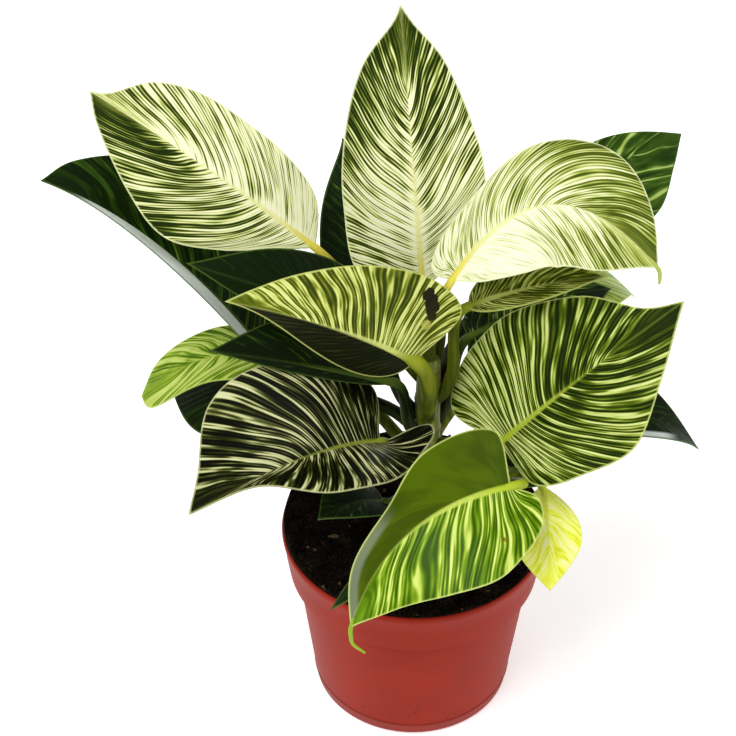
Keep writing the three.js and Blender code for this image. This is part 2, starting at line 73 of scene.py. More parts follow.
# %% [markdown]
# ## Shader sums written as sums
# A finish is mostly arithmetic: how far from the midrib, how near the edge, how strong a
# stripe. Wiring Math nodes by hand is slow to read. So one small class wraps a socket and lets
# us write `1 - edge * 2`, and each operator adds its own Math node. Every other node comes
# from the one method `node` of the class Finish.

# %% Sockets that can be added and multiplied
class Wire:
    """One output of a node, with the usual arithmetic."""

    def __init__(self, finish, socket):
        self.finish = finish
        self.socket = socket

    def sum_of(self, operation, first, second=0.0):
        return self.finish.node("ShaderNodeMath", {"operation": operation}, {0: first, 1: second})

    def __add__(self, other):
        return self.sum_of("ADD", self, other)

    def __radd__(self, other):
        return self.sum_of("ADD", other, self)

    def __sub__(self, other):
        return self.sum_of("SUBTRACT", self, other)

    def __rsub__(self, other):
        return self.sum_of("SUBTRACT", other, self)

    def __mul__(self, other):
        return self.sum_of("MULTIPLY", self, other)

    def __rmul__(self, other):
        return self.sum_of("MULTIPLY", other, self)

    def __pow__(self, other):
        return self.sum_of("POWER", self, other)

    def __abs__(self):
        return self.sum_of("ABSOLUTE", self)

    def cosine(self):
        return self.sum_of("COSINE", self)


# %% A finish is a material with its nodes
def paint(red, green, blue):
    """A colour read off a screen, 0 to 255, as the linear colour that shaders want."""
    def linear(value):
        value = value / 255
        return value / 12.92 if value <= 0.04045 else ((value + 0.055) / 1.055) ** 2.4
    return (linear(red), linear(green), linear(blue), 1.0)


class Finish:
    """A material, its shader, and short names for the nodes that these finishes use."""

    def __init__(self, name, **shader_values):
        self.material = bpy.data.materials.new(name)
        self.material.use_nodes = True
        self.tree = self.material.node_tree
        self.shader = self.tree.nodes["Principled BSDF"]
        for socket, value in shader_values.items():
            self.shader.inputs[socket.replace("_", " ")].default_value = value

    def node(self, kind, settings, values, output=0):
        new = self.tree.nodes.new(kind)
        for setting, value in settings.items():
            if setting == "stops":
                self.set_stops(new.color_ramp, value)
            else:
                setattr(new, setting, value)
        for socket, value in values.items():
            if isinstance(value, Wire):
                self.tree.links.new(value.socket, new.inputs[socket])
            else:
                new.inputs[socket].default_value = value
        return Wire(self, new.outputs[output])

    def set_stops(self, ramp, stops):
        while len(ramp.elements) < len(stops):
            ramp.elements.new(0.5)
        for element, (place, colour) in zip(ramp.elements, stops):
            element.position = place
            element.color = colour

    def split(self, vector):
        return [self.node("ShaderNodeSeparateXYZ", {}, {0: vector}, axis) for axis in range(3)]

    def join(self, x, y, z):
        return self.node("ShaderNodeCombineXYZ", {}, {0: x, 1: y, 2: z})

    def attribute(self, name):
        return self.node("ShaderNodeAttribute", {"attribute_name": name}, {}, "Vector")

    def place(self):
        return self.node("ShaderNodeTexCoord", {}, {}, "Object")

    def noise(self, vector, scale=1.0, detail=0.0, roughness=0.5):
        values = {"Vector": vector, "Scale": scale, "Detail": detail, "Roughness": roughness}
        return self.node("ShaderNodeTexNoise", {}, values)

    def ease(self, value, low, high, start=0.0, end=1.0):
        """Goes smoothly from start to end while value goes from low to high."""
        values = {0: value, 1: low, 2: high, 3: start, 4: end}
        return self.node("ShaderNodeMapRange", {"interpolation_type": "SMOOTHSTEP"}, values)

    def band(self, value, start, full, fading, end):
        """Rises from 0 to 1 between start and full, and falls again between fading and end."""
        return self.ease(value, start, full) * self.ease(value, end, fading)

    def mix(self, share, first, second):
        values = {0: share, 6: first, 7: second}
        return self.node("ShaderNodeMix", {"data_type": "RGBA"}, values, 2)

    def ramp(self, value, *stops):
        return self.node("ShaderNodeValToRGB", {"stops": stops}, {0: value})

    def bump(self, height, strength, distance):
        values = {"Height": height, "Strength": strength, "Distance": distance}
        self.feed(Normal=self.node("ShaderNodeBump", {}, values))

    def feed(self, **wires):
        for socket, wire in wires.items():
            self.tree.links.new(wire.socket, self.shader.inputs[socket.replace("_", " ")])


print("a cream of 240, 238, 190 is", [round(v, 3) for v in paint(240, 238, 190)])

# %% [markdown]
# ## Round things
# Pot, soil and stem are all turned shapes. On a lathe we would follow a profile with a tool;
# here we start with one flat ring and extrude it again and again, each time moving it up and
# scaling it to the next radius. One helper does that for all three.

# %% Turn a shape from its profile
def only(*objects):
    """Selects these objects, the last one active, and nothing else."""
    bpy.ops.object.select_all(action="DESELECT")
    for item in objects:
        item.select_set(True)
    bpy.context.view_layer.objects.active = objects[-1]


def turned(name, profile, sides, axis=lambda height: (0, 0)):
    """A closed round shape. profile lists (radius, height) in mm from its underside onwards."""
    radius, height = profile[0]
    x, y = axis(height)
    bpy.ops.mesh.primitive_circle_add(
        vertices=sides, radius=radius * MM, fill_type="NGON",
        location=(x * MM, y * MM, height * MM))
    shape = bpy.context.object
    shape.name = name
    bpy.ops.object.mode_set(mode="EDIT")
    bpy.ops.mesh.select_all(action="SELECT")
    for next_radius, next_height in profile[1:]:
        next_x, next_y = axis(next_height)
        step = ((next_x - x) * MM, (next_y - y) * MM, (next_height - height) * MM)
        bpy.ops.mesh.extrude_region_move(TRANSFORM_OT_translate={"value": step})
        grow = next_radius / radius
        middle = (next_x * MM, next_y * MM, next_height * MM)
        bpy.ops.transform.resize(value=(grow, grow, 1), center_override=middle)
        radius, height, x, y = next_radius, next_height, next_x, next_y
    bpy.ops.mesh.select_all(action="SELECT")
    bpy.ops.mesh.normals_make_consistent(inside=False)
    bpy.ops.object.mode_set(mode="OBJECT")
    bpy.ops.object.transform_apply(location=True, rotation=True, scale=True)
    return shape


def modified(shape, kind, **settings):
    """Adds a modifier with these settings and applies it."""
    only(shape)
    bpy.ops.object.modifier_add(type=kind)
    modifier = shape.modifiers[-1]
    for setting, value in settings.items():
        setattr(modifier, setting, value)
    bpy.ops.object.modifier_apply(modifier=modifier.name)


def smoothed(shape, degrees):
    only(shape)
    bpy.ops.object.shade_smooth_by_angle(angle=math.radians(degrees))


def finished(shape, finish, node):
    """Gives the shape its finish, if one is given, hangs it under the root body and hides the solid
    it stands for.
    """
    if finish:
        shape.data.materials.clear()
        shape.data.materials.append(finish.material)
    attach(shape, "root")
    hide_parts(node)
    print(shape.name, len(shape.data.polygons), "faces")


# %% [markdown]
# ## The pot
# The pot is an injection-moulded nursery pot: a tapered body, a deep collar that is stepped
# out so that pots can be nested and lifted, a rounded rim, and a foot ring under which water
# can run off through six drain holes. Its wall is only 1.4 mm thick. The profile runs once
# round that wall, from the middle of the underside, up the outside and down the inside.

# %% Pot measures
POT_HEIGHT = 93
RIM_RADIUS = 60
COLLAR_FOOT = 69
COLLAR_FOOT_RADIUS = 57
BODY_TOP_RADIUS = 53.5
FOOT_RADIUS = 45.5
WALL = 1.4
RECESS = 1.4
FLOOR_TOP = 3.8
FOOT_RIDGE = 0.25
LIP_RADIUS = RIM_RADIUS - 2.2
LIP_DROP = 3
POT_SIDES = 144


def body_radius(height):
    """Outer radius of the tapered body at a height, in mm."""
    return FOOT_RADIUS + (BODY_TOP_RADIUS - FOOT_RADIUS) * height / COLLAR_FOOT


print("the body's radius goes from", body_radius(0), "to", body_radius(COLLAR_FOOT), "mm")

# %% Pot shape
underside = [
    (13, 0), (13.2, RECESS), (36.8, RECESS), (37, 0.3), (37.3, 0), (43.6, 0), (44.6, 0.4)]
body = [
    (body_radius(1.6) - 0.1, 1.6),
    (body_radius(6.4), 6.4),
    (body_radius(6.8) + FOOT_RIDGE, 6.8),
    (body_radius(7.6) + FOOT_RIDGE, 7.6),
    (body_radius(8.0), 8.0),
    (body_radius(40), 40),
    (body_radius(66), 66),
    (BODY_TOP_RADIUS, COLLAR_FOOT),
]
collar = [
    (BODY_TOP_RADIUS + 0.5, COLLAR_FOOT + 0.3),
    (COLLAR_FOOT_RADIUS - 0.6, COLLAR_FOOT + 0.5),
    (COLLAR_FOOT_RADIUS, COLLAR_FOOT + 1.1),
    (58.4, 80),
    (59.2, 88.2),
    (59.7, 89.2),
]
rim = [
    (RIM_RADIUS, 91.6),
    (RIM_RADIUS - 0.2, 92.5),
    (RIM_RADIUS - 0.7, POT_HEIGHT),
    (LIP_RADIUS + 0.4, POT_HEIGHT),
    (LIP_RADIUS, POT_HEIGHT - 0.4),
    (LIP_RADIUS, POT_HEIGHT - LIP_DROP),
]
inside = [
    (COLLAR_FOOT_RADIUS - WALL, COLLAR_FOOT + 2),
    (BODY_TOP_RADIUS - WALL, COLLAR_FOOT - 1),
    (body_radius(5) - WALL, 5),
    (body_radius(4) - WALL - 1, FLOOR_TOP),
]
pot = turned("nursery_pot", underside + body + collar + rim + inside, POT_SIDES)
print("pot wall of", len(pot.data.polygons), "faces")

# %% Drain holes
DRAIN_COUNT = 6
DRAIN_CIRCLE = 27
DRAIN_RADIUS = 4
DRAIN_SIDES = 32
DRILL_LENGTH = 20

holes = []
for number in range(DRAIN_COUNT):
    angle = math.radians(360 / DRAIN_COUNT * (number + 0.5))
    bpy.ops.mesh.primitive_cylinder_add(
        vertices=DRAIN_SIDES, radius=DRAIN_RADIUS * MM, depth=DRILL_LENGTH * MM,
        location=(DRAIN_CIRCLE * MM * math.cos(angle), DRAIN_CIRCLE * MM * math.sin(angle), 0))
    holes.append(bpy.context.object)
only(*holes)
bpy.ops.object.join()
drill = bpy.context.object
modified(pot, "BOOLEAN", operation="DIFFERENCE", object=drill, solver="EXACT")
bpy.data.objects.remove(drill)
smoothed(pot, degrees=32)
print("pot", [round(v * 1000, 1) for v in pot.dimensions], "mm")

# %% [markdown]
# The plastic is coloured right through, terracotta red, with a satin skin from the mould. It
# looks lighter and pinker towards its sides, where the skin is seen at a slant: a soft sheen
# does that. The colour is a little cloudy. Painted shade darkens it in a band along the foot
# ridge and under the step of the collar, where shade falls. A few dark specks show low down,
# and the body carries very faint level lines from the mould.

# %% Pot finish
# Heights in mm of the painted shade bands: round the foot ridge and under the collar's step.
FOOT_SHADE_BAND = (5.5, 7.2, 7.4, 8.5)
COLLAR_SHADE_BAND = (65.5, 69, 69.4, 70.2)
SPECKS_END, SPECKS_FULL = 50, 10
DEEP_RED, LIGHT_RED = paint(137, 32, 14), paint(149, 37, 18)
# The red of that painted shade.
PAINTED_SHADE_RED = paint(104, 32, 22)
SPECK_PAINT = paint(70, 30, 22)

terracotta = Finish("terracotta plastic", Specular_IOR_Level=0.05, Sheen_Weight=0.05)
here = terracotta.place()
x, y, z = terracotta.split(here)
clouds = terracotta.noise(here, scale=38, detail=4)
specks = terracotta.ease(terracotta.noise(here, scale=620, detail=1), 0.70, 0.74)
level_lines = terracotta.noise(terracotta.join(x * 6, y * 6, z * 900), detail=2)
grain = terracotta.noise(here, scale=900, detail=2)
# Painted shade: darker bands round the foot ridge and just under the collar's step.
foot_shade = terracotta.band(z, *(level * MM for level in FOOT_SHADE_BAND))
collar_shade = terracotta.band(z, *(level * MM for level in COLLAR_SHADE_BAND))
low_down = terracotta.ease(z, SPECKS_END * MM, SPECKS_FULL * MM)
plain = terracotta.ramp(clouds, (0.3, DEEP_RED), (0.7, LIGHT_RED))
foot_shaded = terracotta.mix(foot_shade * 0.55, plain, PAINTED_SHADE_RED)
stepped = terracotta.mix(collar_shade * 0.35, foot_shaded, PAINTED_SHADE_RED)
speckled = terracotta.mix(specks * low_down, stepped, SPECK_PAINT)
terracotta.feed(Base_Color=speckled, Roughness=0.42 + 0.16 * clouds)
terracotta.bump(level_lines * 0.6 + grain * 0.4, strength=0.12, distance=0.4 * MM)
finished(pot, terracotta, "pot")

# %% [markdown]
# ## The soil
# Potting mix fills the pot to its lip and stands a little proud of it, heaped to the back left
# where the plant was set in. It is turned like the pot, from the pot's floor up the inside and
# then in to the middle in many narrow rings, so that there are points enough to lift into lumps.
# Dice make the top rough. They are dealt to the points in the order in which Blender lists them,
# which isn't the same on every run, so the roughness can differ by less than a millimetre.

# %% How high the soil stands
SOIL_EDGE = RIM_RADIUS - 0.7
SOIL_PROUD = 1.2
SOIL_DOME = 2
HEAP_HEIGHT = 8
HEAP_SIDE = math.radians(150)
LUMP_HEIGHT = 0.9


def soil_height(radius, angle):
    """Height of the soil in mm at a radius in mm and an angle in radians."""
    share = radius / RIM_RADIUS
    heap = HEAP_HEIGHT * max(math.cos(angle - HEAP_SIDE), 0) * share * (1.4 - share)
    lumps = (math.sin(5 * angle + 9 * share) + math.sin(8 * angle - 13 * share + 1)
             + math.sin(13 * angle + 21 * share + 2))
    fade = 0.35 + 0.65 * math.sin(math.pi * share)
    level = POT_HEIGHT + SOIL_PROUD + SOIL_DOME * (1 - share ** 2)
    return level + heap + LUMP_HEIGHT * lumps * fade


print("the soil's middle is", round(soil_height(0, 0), 1), "mm high")

# %% Soil body
SOIL_RINGS = 46
SOIL_SIDES = 150
SOIL_SEED = 5
TOP_START = POT_HEIGHT + 0.8
LOWEST_TOP = POT_HEIGHT + 0.9
ROUGH = 0.45
CALM_EDGE = 6

soil_profile = [
    (body_radius(4) - WALL - 1.5, 4.2),
    (BODY_TOP_RADIUS - WALL - 1, COLLAR_FOOT - 1),
    (COLLAR_FOOT_RADIUS - WALL - 1, COLLAR_FOOT + 2.5),
    (LIP_RADIUS - 0.6, POT_HEIGHT - LIP_DROP),
    (LIP_RADIUS - 0.6, POT_HEIGHT + 0.35),
    (SOIL_EDGE, POT_HEIGHT + 0.5),
]
for ring in range(SOIL_RINGS):
    soil_profile.append((SOIL_EDGE * (1 - (ring + 0.35) / SOIL_RINGS), POT_HEIGHT + 1))
soil = turned("potting_soil", soil_profile, SOIL_SIDES)
only(soil)
bpy.ops.object.mode_set(mode="EDIT")
bpy.ops.mesh.poke()
bpy.ops.object.mode_set(mode="OBJECT")
dice = random.Random(SOIL_SEED)
for vertex in soil.data.vertices:
    if vertex.co.z > TOP_START * MM:
        radius = math.hypot(vertex.co.x, vertex.co.y) * 1000
        height = soil_height(radius, math.atan2(vertex.co.y, vertex.co.x))
        rough = dice.uniform(-ROUGH, ROUGH) * min(1, (RIM_RADIUS - radius) / CALM_EDGE)
        vertex.co.z = max(height + rough, LOWEST_TOP) * MM
smoothed(soil, degrees=80)
print("soil", [round(v * 1000, 1) for v in soil.dimensions], "mm")

# %% [markdown]
# Crumbs lie loose on top. Five different lumps are made from a small ball whose points are
# pushed about; each is copied many times, turned and sized by dice and half sunk in the soil.
# Dice with a fixed seed fall the same way every time, so the crumbs lie the same on every run.

# %% Crumbs
CRUMB_COUNT = 620
CRUMB_REACH = 59.3
LUMP_KINDS = 5
LUMP_SEED = 40
TUMBLE = 6.28


def crumb_shape(number):
    """A ball of one metre in radius with its points pushed in and out by dice of its own."""
    bpy.ops.mesh.primitive_ico_sphere_add(subdivisions=1, radius=1)
    lump = bpy.context.object
    own_dice = random.Random(LUMP_SEED + number)
    for vertex in lump.data.vertices:
        vertex.co *= own_dice.uniform(0.6, 1.25)
    return lump


lumps = [crumb_shape(number) for number in range(LUMP_KINDS)]
crumbs = []
for number in range(CRUMB_COUNT):
    radius = CRUMB_REACH * math.sqrt(dice.uniform(0.03, 1))
    angle = dice.uniform(0, 2 * math.pi)
    size = dice.uniform(0.35, 1.0) + 0.9 * dice.random() ** 6
    lump = lumps[number % LUMP_KINDS]
    crumb = lump.copy()
    crumb.data = lump.data.copy()
    crumb.location = (
        radius * MM * math.cos(angle), radius * MM * math.sin(angle),
        (soil_height(radius, angle) + 0.15 * size) * MM)
    crumb.rotation_euler = [dice.uniform(0, TUMBLE) for _ in range(3)]
    crumb.scale = [size * MM * dice.uniform(0.7, 1.4), size * MM, size * MM * 0.75]
    bpy.context.collection.objects.link(crumb)
    crumbs.append(crumb)
for lump in lumps:
    bpy.data.objects.remove(lump)
only(*crumbs, soil)
bpy.ops.object.join()
print(CRUMB_COUNT, "crumbs on the soil")

# %% Soil finish
earth = Finish("potting mix", Roughness=0.95, Specular_IOR_Level=0.03)
here = earth.place()
grains = earth.noise(here, scale=900, detail=3, roughness=0.7)
patches = earth.noise(here, scale=120, detail=2)
fibres = earth.ease(earth.noise(here, scale=260, detail=1), 0.70, 0.74)
peat = earth.ramp(
    grains * 0.7 + patches * 0.3,
    (0.38, paint(5, 3, 2)), (0.52, paint(16, 11, 8)), (0.66, paint(44, 34, 26)))
earth.feed(Base_Color=earth.mix(fibres * 0.5, peat, paint(120, 96, 70)))
earth.bump(grains, strength=0.7, distance=1.2 * MM)
finished(soil, earth, "soil")

# %% [markdown]
# ## The stem
# A young birkin has one short upright stem, hidden by its own leaf stalks. Each old leaf leaves
# a ring round it. It leans slightly to the right and tapers upwards. The profile swells a
# little at each ring, and the skin is darker there.

# %% Stem shape
STEM_FOOT = Vector((4, 0, 70))
STEM_TOP = Vector((5, 2, 186))
STEM_FOOT_RADIUS = 8
STEM_TOP_RADIUS = 5
STEM_SIDES = 40
STEM_CAP = [(4.6, 187), (3.6, 187.9)]
SKIN_DEPTH = 0.1
RING_SPACING = 16
RING_SWELL = 0.45
RING_HALF_WIDTH = 2.5
RINGS_START, RINGS_END = 8, 100


def stem_axis(height):
    """Where the middle of the stem is at a height, in mm."""
    share = (height - STEM_FOOT.z) / (STEM_TOP.z - STEM_FOOT.z)
    return STEM_FOOT.lerp(STEM_TOP, share)


def stem_radius(height):
    """Radius of the stem at a height, in mm, without its rings."""
    taper = STEM_FOOT_RADIUS - STEM_TOP_RADIUS
    return STEM_FOOT_RADIUS - taper * (height - STEM_FOOT.z) / (STEM_TOP.z - STEM_FOOT.z)


def ring_swell(rise):
    """How far the skin stands out, at so many mm above the foot."""
    if not RINGS_START <= rise <= RINGS_END:
        return 0
    from_ring = abs((rise + RING_SPACING / 2) % RING_SPACING - RING_SPACING / 2)
    return RING_SWELL * max(0, 1 - from_ring / RING_HALF_WIDTH) ** 0.7


stem_profile = []
for rise in range(int(STEM_TOP.z - STEM_FOOT.z) + 1):
    height = STEM_FOOT.z + rise
    stem_profile.append((stem_radius(height) - SKIN_DEPTH + ring_swell(rise), height))
stem = turned(
    "stem_cane", stem_profile + STEM_CAP, STEM_SIDES, lambda height: stem_axis(height)[:2])
smoothed(stem, degrees=60)
print("stem", [round(v * 1000, 1) for v in stem.dimensions], "mm")

# %% Stem finish
cane = Finish("stem skin", Roughness=0.55)
x, y, z = cane.split(cane.place())
streaks = cane.noise(cane.join(x * 500, y * 500, z * 60), detail=3)
rise = (z * 1000 - STEM_FOOT.z) * (math.tau / RING_SPACING)
rings = cane.ease(rise.cosine(), 0.82, 1.0)
green = cane.ramp(
    streaks, (0.3, paint(70, 84, 22)), (0.5, paint(112, 122, 40)), (0.7, paint(158, 160, 78)))
cane.feed(Base_Color=cane.mix(rings * 0.6, green, paint(84, 62, 30)))
cane.bump(streaks, strength=0.3, distance=0.5 * MM)
finished(stem, cane, "stem")

# %% [markdown]
# ## How a leaf is described
# A birkin leaf is a heart drawn out to a point. Its midrib is an arched line from base to tip;
# each half of the blade rises or falls from it, and the halves are seldom alike. The side veins
# leave the midrib one after another, crowded near the base, and sweep out and up to the margin,
# where they end evenly spaced. The stripes follow them. So we describe a point of the blade by
# two numbers. `turn` says which vein it is on, from 0 at the base to 1 at the tip. `out` says how
# far along that vein, from 0 at the midrib to 1 at the margin. The stripes will later be painted
# with the same two numbers.

# %% [markdown]
# The words that describe the shape of a leaf, with all lengths in mm and angles in degrees:
# - `base`, `tip`: the two ends of the blade. `root`: height and direction of the stalk's foot.
# - `arch`, `crest`, `sway`: how far the midrib bows up, where along it, and how far sideways.
# - `roll`: how the whole blade tips to one side. `fold`: how each half rises from the midrib.
# - `halves`: the widths of the two halves, with `lobes` and `belly` for how far they reach back
#   and how full they are. `margins` takes their place where a half has a form of its own:
#   points on its edge, each a share of the blade's length and a distance from the midrib.
# - `wave`, `perk`: how high the edge ripples, and how the lobes turn up behind the base.
# - `girth`, `tail`: how thick the stalk is, and points of a drawn-out tip.
# - `lead`: how much the veins crowd near the base.

# %% What a leaf is without words of its own
PLAIN_LEAF = dict(
    arch=0, sway=0, crest=0.5, roll=0, fold=(0, 0), margins=(None, None), lobes=(0.3, 0.3),
    belly=(0.15, 0.15), wave=0, girth=1, perk=0, tail=(), lead=1.9,
    palette="striped", bands=18, cover=(0, 0), toward_tip=0, near_rib=0, bold=0.14, sharp=3,
    fine=0.09, wild=1.0, plain=(0, 0), shade=(0, 0), strips=(), spots=())
sample_leaf = PLAIN_LEAF | dict(base=(0, 0, 0), tip=(100, 0, 0), arch=8, halves=(36, 36))
print(len(PLAIN_LEAF), "words can be left out")

# %% The midrib
def unit(vectors):
    return vectors / np.linalg.norm(vectors, axis=-1, keepdims=True)


def rib_curve(leaf):
    """The midrib's three control points and the direction across it."""
    base, tip = np.array(leaf["base"], float), np.array(leaf["tip"], float)
    chord = unit(tip - base)
    level = unit(np.cross(chord, (0, 0, 1)))
    rise = np.cross(level, chord)
    roll = math.radians(leaf["roll"])
    side = level * math.cos(roll) + rise * math.sin(roll)
    upper = rise * math.cos(roll) - level * math.sin(roll)
    bow = base + (tip - base) * leaf["crest"] + upper * 2 * leaf["arch"] + side * 2 * leaf["sway"]
    return base, bow, tip, side


def rib_station(leaf, share):
    """Points of the midrib, and the side and upper directions there, for shares of its length."""
    base, bow, tip, side = rib_curve(leaf)
    share = np.asarray(share, float)[..., None]
    inside = np.clip(share, 0, 1)
    point = base * (1 - inside) ** 2 + bow * 2 * inside * (1 - inside) + tip * inside ** 2
    along = unit((bow - base) * (1 - inside) + (tip - bow) * inside)
    point = point + along * np.minimum(share, 0) * np.linalg.norm(tip - base)
    across = unit(side - along * (along @ side)[..., None])
    return point, across, np.cross(across, along), along


print("middle of a sample midrib", rib_station(sample_leaf, 0.5)[0].round(1), "mm")

# %% The margin
MARGIN_SAMPLES = 40
EVEN_STEPS = 600
DRIP_TIP = 0.12


def smooth_line(knots, turn):
    """A smooth line through the knots (a Catmull-Rom curve), read at turn from 0 to 1."""
    knots = np.asarray(knots, float)
    knots = np.vstack([2 * knots[0] - knots[1], knots, 2 * knots[-1] - knots[-2]])
    spans = len(knots) - 3
    step = np.minimum((turn * spans).astype(int), spans - 1)
    t = (turn * spans - step)[..., None]
    before, start, end, after = (knots[step + number] for number in range(4))
    return start + 0.5 * t * (end - before + t * (
        2 * before - 5 * start + 4 * end - after + t * (3 * (start - end) + after - before)))


def oval_margin(leaf, half, turn):
    """The margin of a half that has no points of its own."""
    belly, lobe = leaf["belly"][half], leaf["lobes"][half]

    def fullness(course):
        body = (1 - course) ** belly if belly >= 0 else course ** -belly
        return body * np.sqrt(np.maximum(1 - course ** 9, 0))

    sample = np.pi * np.arange(1, MARGIN_SAMPLES) / MARGIN_SAMPLES
    widest = np.max(np.sin(sample) * fullness((1 - np.cos(sample)) / 2))
    course = np.clip((1 - np.cos(np.pi * turn)) / 2, 0, 1)
    swing = np.sin(np.pi * turn)
    share = course * (1 - DRIP_TIP) + DRIP_TIP * course ** 8 - lobe * swing * (1 - course) ** 2
    return share, leaf["halves"][half] * swing * fullness(course) / widest


def margin_at(leaf, half, turn):
    """The margin of one half: its share of the length, and its distance from the midrib.
    Equal steps of turn are equal ways along the margin, so that the veins end evenly on it."""
    between = leaf["margins"][half]
    even = np.linspace(0, 1, EVEN_STEPS)
    if between:
        share, width = smooth_line([(0, 0), *between, (1, 0)], even).T
    else:
        share, width = oval_margin(leaf, half, even)
    length = np.linalg.norm(np.subtract(leaf["tip"], leaf["base"]))
    way = np.cumsum(np.hypot(np.diff(share, prepend=0) * length, np.diff(width, prepend=0)))
    return np.interp(turn * way[-1], way, share), np.interp(turn * way[-1], way, width)


print("margin of a sample leaf half way", np.round(margin_at(sample_leaf, 0, 0.5), 2))

# %% The blade
VEIN_BEND = 0.36
VEIN_SPREAD = 0.58
LAST_VEIN = 0.8
WAVE_COUNT = 3
WAVE_SHIFT = 1.7


def blade_points(leaf, turn, across):
    """Points of the blade in mm. across goes from -1 at one margin to 1 at the other."""
    out, right = np.abs(across), across > 0
    left_margin, right_margin = (margin_at(leaf, half, turn) for half in (0, 1))
    margin_share = np.where(right, right_margin[0], left_margin[0])
    margin_width = np.where(right, right_margin[1], left_margin[1])
    start = LAST_VEIN * turn ** leaf["lead"]
    bend = start + VEIN_BEND * (margin_share - start)
    share = start * (1 - out) ** 2 + 2 * bend * out * (1 - out) + margin_share * out ** 2
    reach = 2 * VEIN_SPREAD * out * (1 - out) + out ** 2
    width = margin_width * reach
    point, side, upper, _ = rib_station(leaf, share)
    lift = np.radians(np.where(right, leaf["fold"][1], leaf["fold"][0]))
    phase = 2 * np.pi * WAVE_COUNT * share + np.where(right, WAVE_SHIFT, 0)
    wave = leaf["wave"] * np.sin(phase) * np.sin(np.pi * turn) * reach ** 2
    length = np.linalg.norm(np.subtract(leaf["tip"], leaf["base"]))
    perk = leaf["perk"] * length * np.minimum(share, 0) ** 2
    point = point + side * (np.sign(across) * width * np.cos(lift))[..., None]
    return point + upper * (width * np.sin(lift) + wave + perk)[..., None], share


sample_turn, sample_across = np.array([0.5, 0.5]), np.array([0.0, 1.0])
print("ends of a sample vein", blade_points(sample_leaf, sample_turn, sample_across)[0].round(1))

# %% [markdown]
# ## Making one leaf
# The blade starts as a flat grid, whose points are laid where the two numbers say, and a
# Solidify modifier gives it its half millimetre of thickness. The points that fall together at
# the base and the tip are merged. Notes for painting are left on every point: which vein it is
# on, how far it is from midrib and margin, and whether it is on the underside. Each face also
# notes which half it belongs to.

# %% The notes for painting
EDGE_SAMPLES = 240


def write_note(mesh, name, values):
    """Leaves three numbers on every point of a mesh."""
    note = mesh.attributes.new(name, "FLOAT_VECTOR", "POINT")
    note.data.foreach_set("vector", np.asarray(values, np.float32).ravel())


def distance_to(points, line):
    """For each point, how far it is from the nearest point of a dense line."""
    return np.min(np.linalg.norm(points[:, None] - line[None], axis=2), axis=1)


def note_depth(mesh, leaf, points):
    """Notes how far each point is from the midrib and the margin, and that it is on top."""
    fine = np.linspace(0, 1, EDGE_SAMPLES)
    margin = np.concatenate(
        [blade_points(leaf, fine, np.full(EDGE_SAMPLES, edge))[0] for edge in (-1.0, 1.0)])
    rib = rib_station(leaf, fine)[0]
    on_top = np.zeros(len(points))
    write_note(mesh, "depth", np.stack(
        [distance_to(points, rib), distance_to(points, margin), on_top], axis=1))


def note_underside(mesh, first):
    """Notes on each point from number first on that it is on the underside."""
    depth = mesh.attributes["depth"].data
    for number in range(first, len(depth)):
        rib_gap, edge_gap, _ = depth[number].vector
        depth[number].vector = (rib_gap, edge_gap, 1)


print("a margin is measured at", 2 * EDGE_SAMPLES, "points")

# %% The blade of a leaf
BLADE_THICKNESS = 0.55
ROWS_PER_MM, FEWEST_ROWS, MOST_ROWS = 0.9, 30, 96
COLUMNS_PER_MM, FEWEST_COLUMNS, MOST_COLUMNS = 0.4, 9, 30
WIDTH_SAMPLES = 60
MERGE_DISTANCE = 0.02


def make_blade(leaf):
    """The blade of a leaf, half a millimetre thick, with its notes."""
    length = np.linalg.norm(np.subtract(leaf["tip"], leaf["base"]))
    rows = int(np.clip(length * ROWS_PER_MM, FEWEST_ROWS, MOST_ROWS))
    course = np.linspace(0, 1, WIDTH_SAMPLES)
    width = sum(margin_at(leaf, half, course)[1].max() for half in (0, 1))
    columns = 2 * int(np.clip(width * COLUMNS_PER_MM, FEWEST_COLUMNS, MOST_COLUMNS))
    bpy.ops.mesh.primitive_grid_add(x_subdivisions=columns, y_subdivisions=rows, size=2)
    blade = bpy.context.object
    mesh = blade.data
    flat = np.array([vertex.co[:2] for vertex in mesh.vertices])
    across, turn = np.round(flat[:, 0], 6), np.clip((flat[:, 1] + 1) / 2, 0, 1)
    halves = [float(face.center.x > 0) for face in mesh.polygons]
    mesh.attributes.new("half", "FLOAT", "FACE").data.foreach_set("value", halves)
    points, share = blade_points(leaf, turn, across)
    mesh.vertices.foreach_set("co", (points * MM).ravel())
    write_note(mesh, "vein", np.stack([turn, across, share], axis=1))
    note_depth(mesh, leaf, points)
    bpy.ops.object.mode_set(mode="EDIT")
    bpy.ops.mesh.select_all(action="SELECT")
    bpy.ops.mesh.remove_doubles(threshold=MERGE_DISTANCE * MM)
    bpy.ops.object.mode_set(mode="OBJECT")
    single = len(mesh.vertices)
    modified(blade, "SOLIDIFY", thickness=BLADE_THICKNESS * MM, offset=0)
    note_underside(blade.data, single)
    return blade


# %% [markdown]
# The stalk leaves the stem upwards and outwards, bends over to the base of the blade and runs
# on under it as the midrib, ever thinner. That is a curve with a round bevel and a radius at
# each of its points, turned into a mesh at the end.

# %% The line of the stalk and midrib
STALK_STEPS = 18
RIB_STEPS = 26
STALK_FOOT_RADIUS = 3
STALK_SLIMMING = 0.9
NECK_RADIUS = 2.1
RIB_END_RADIUS = 0.22
RIB_TAPER = 0.33
RIB_REACH = 0.95
FOOT_SINK = 1.5


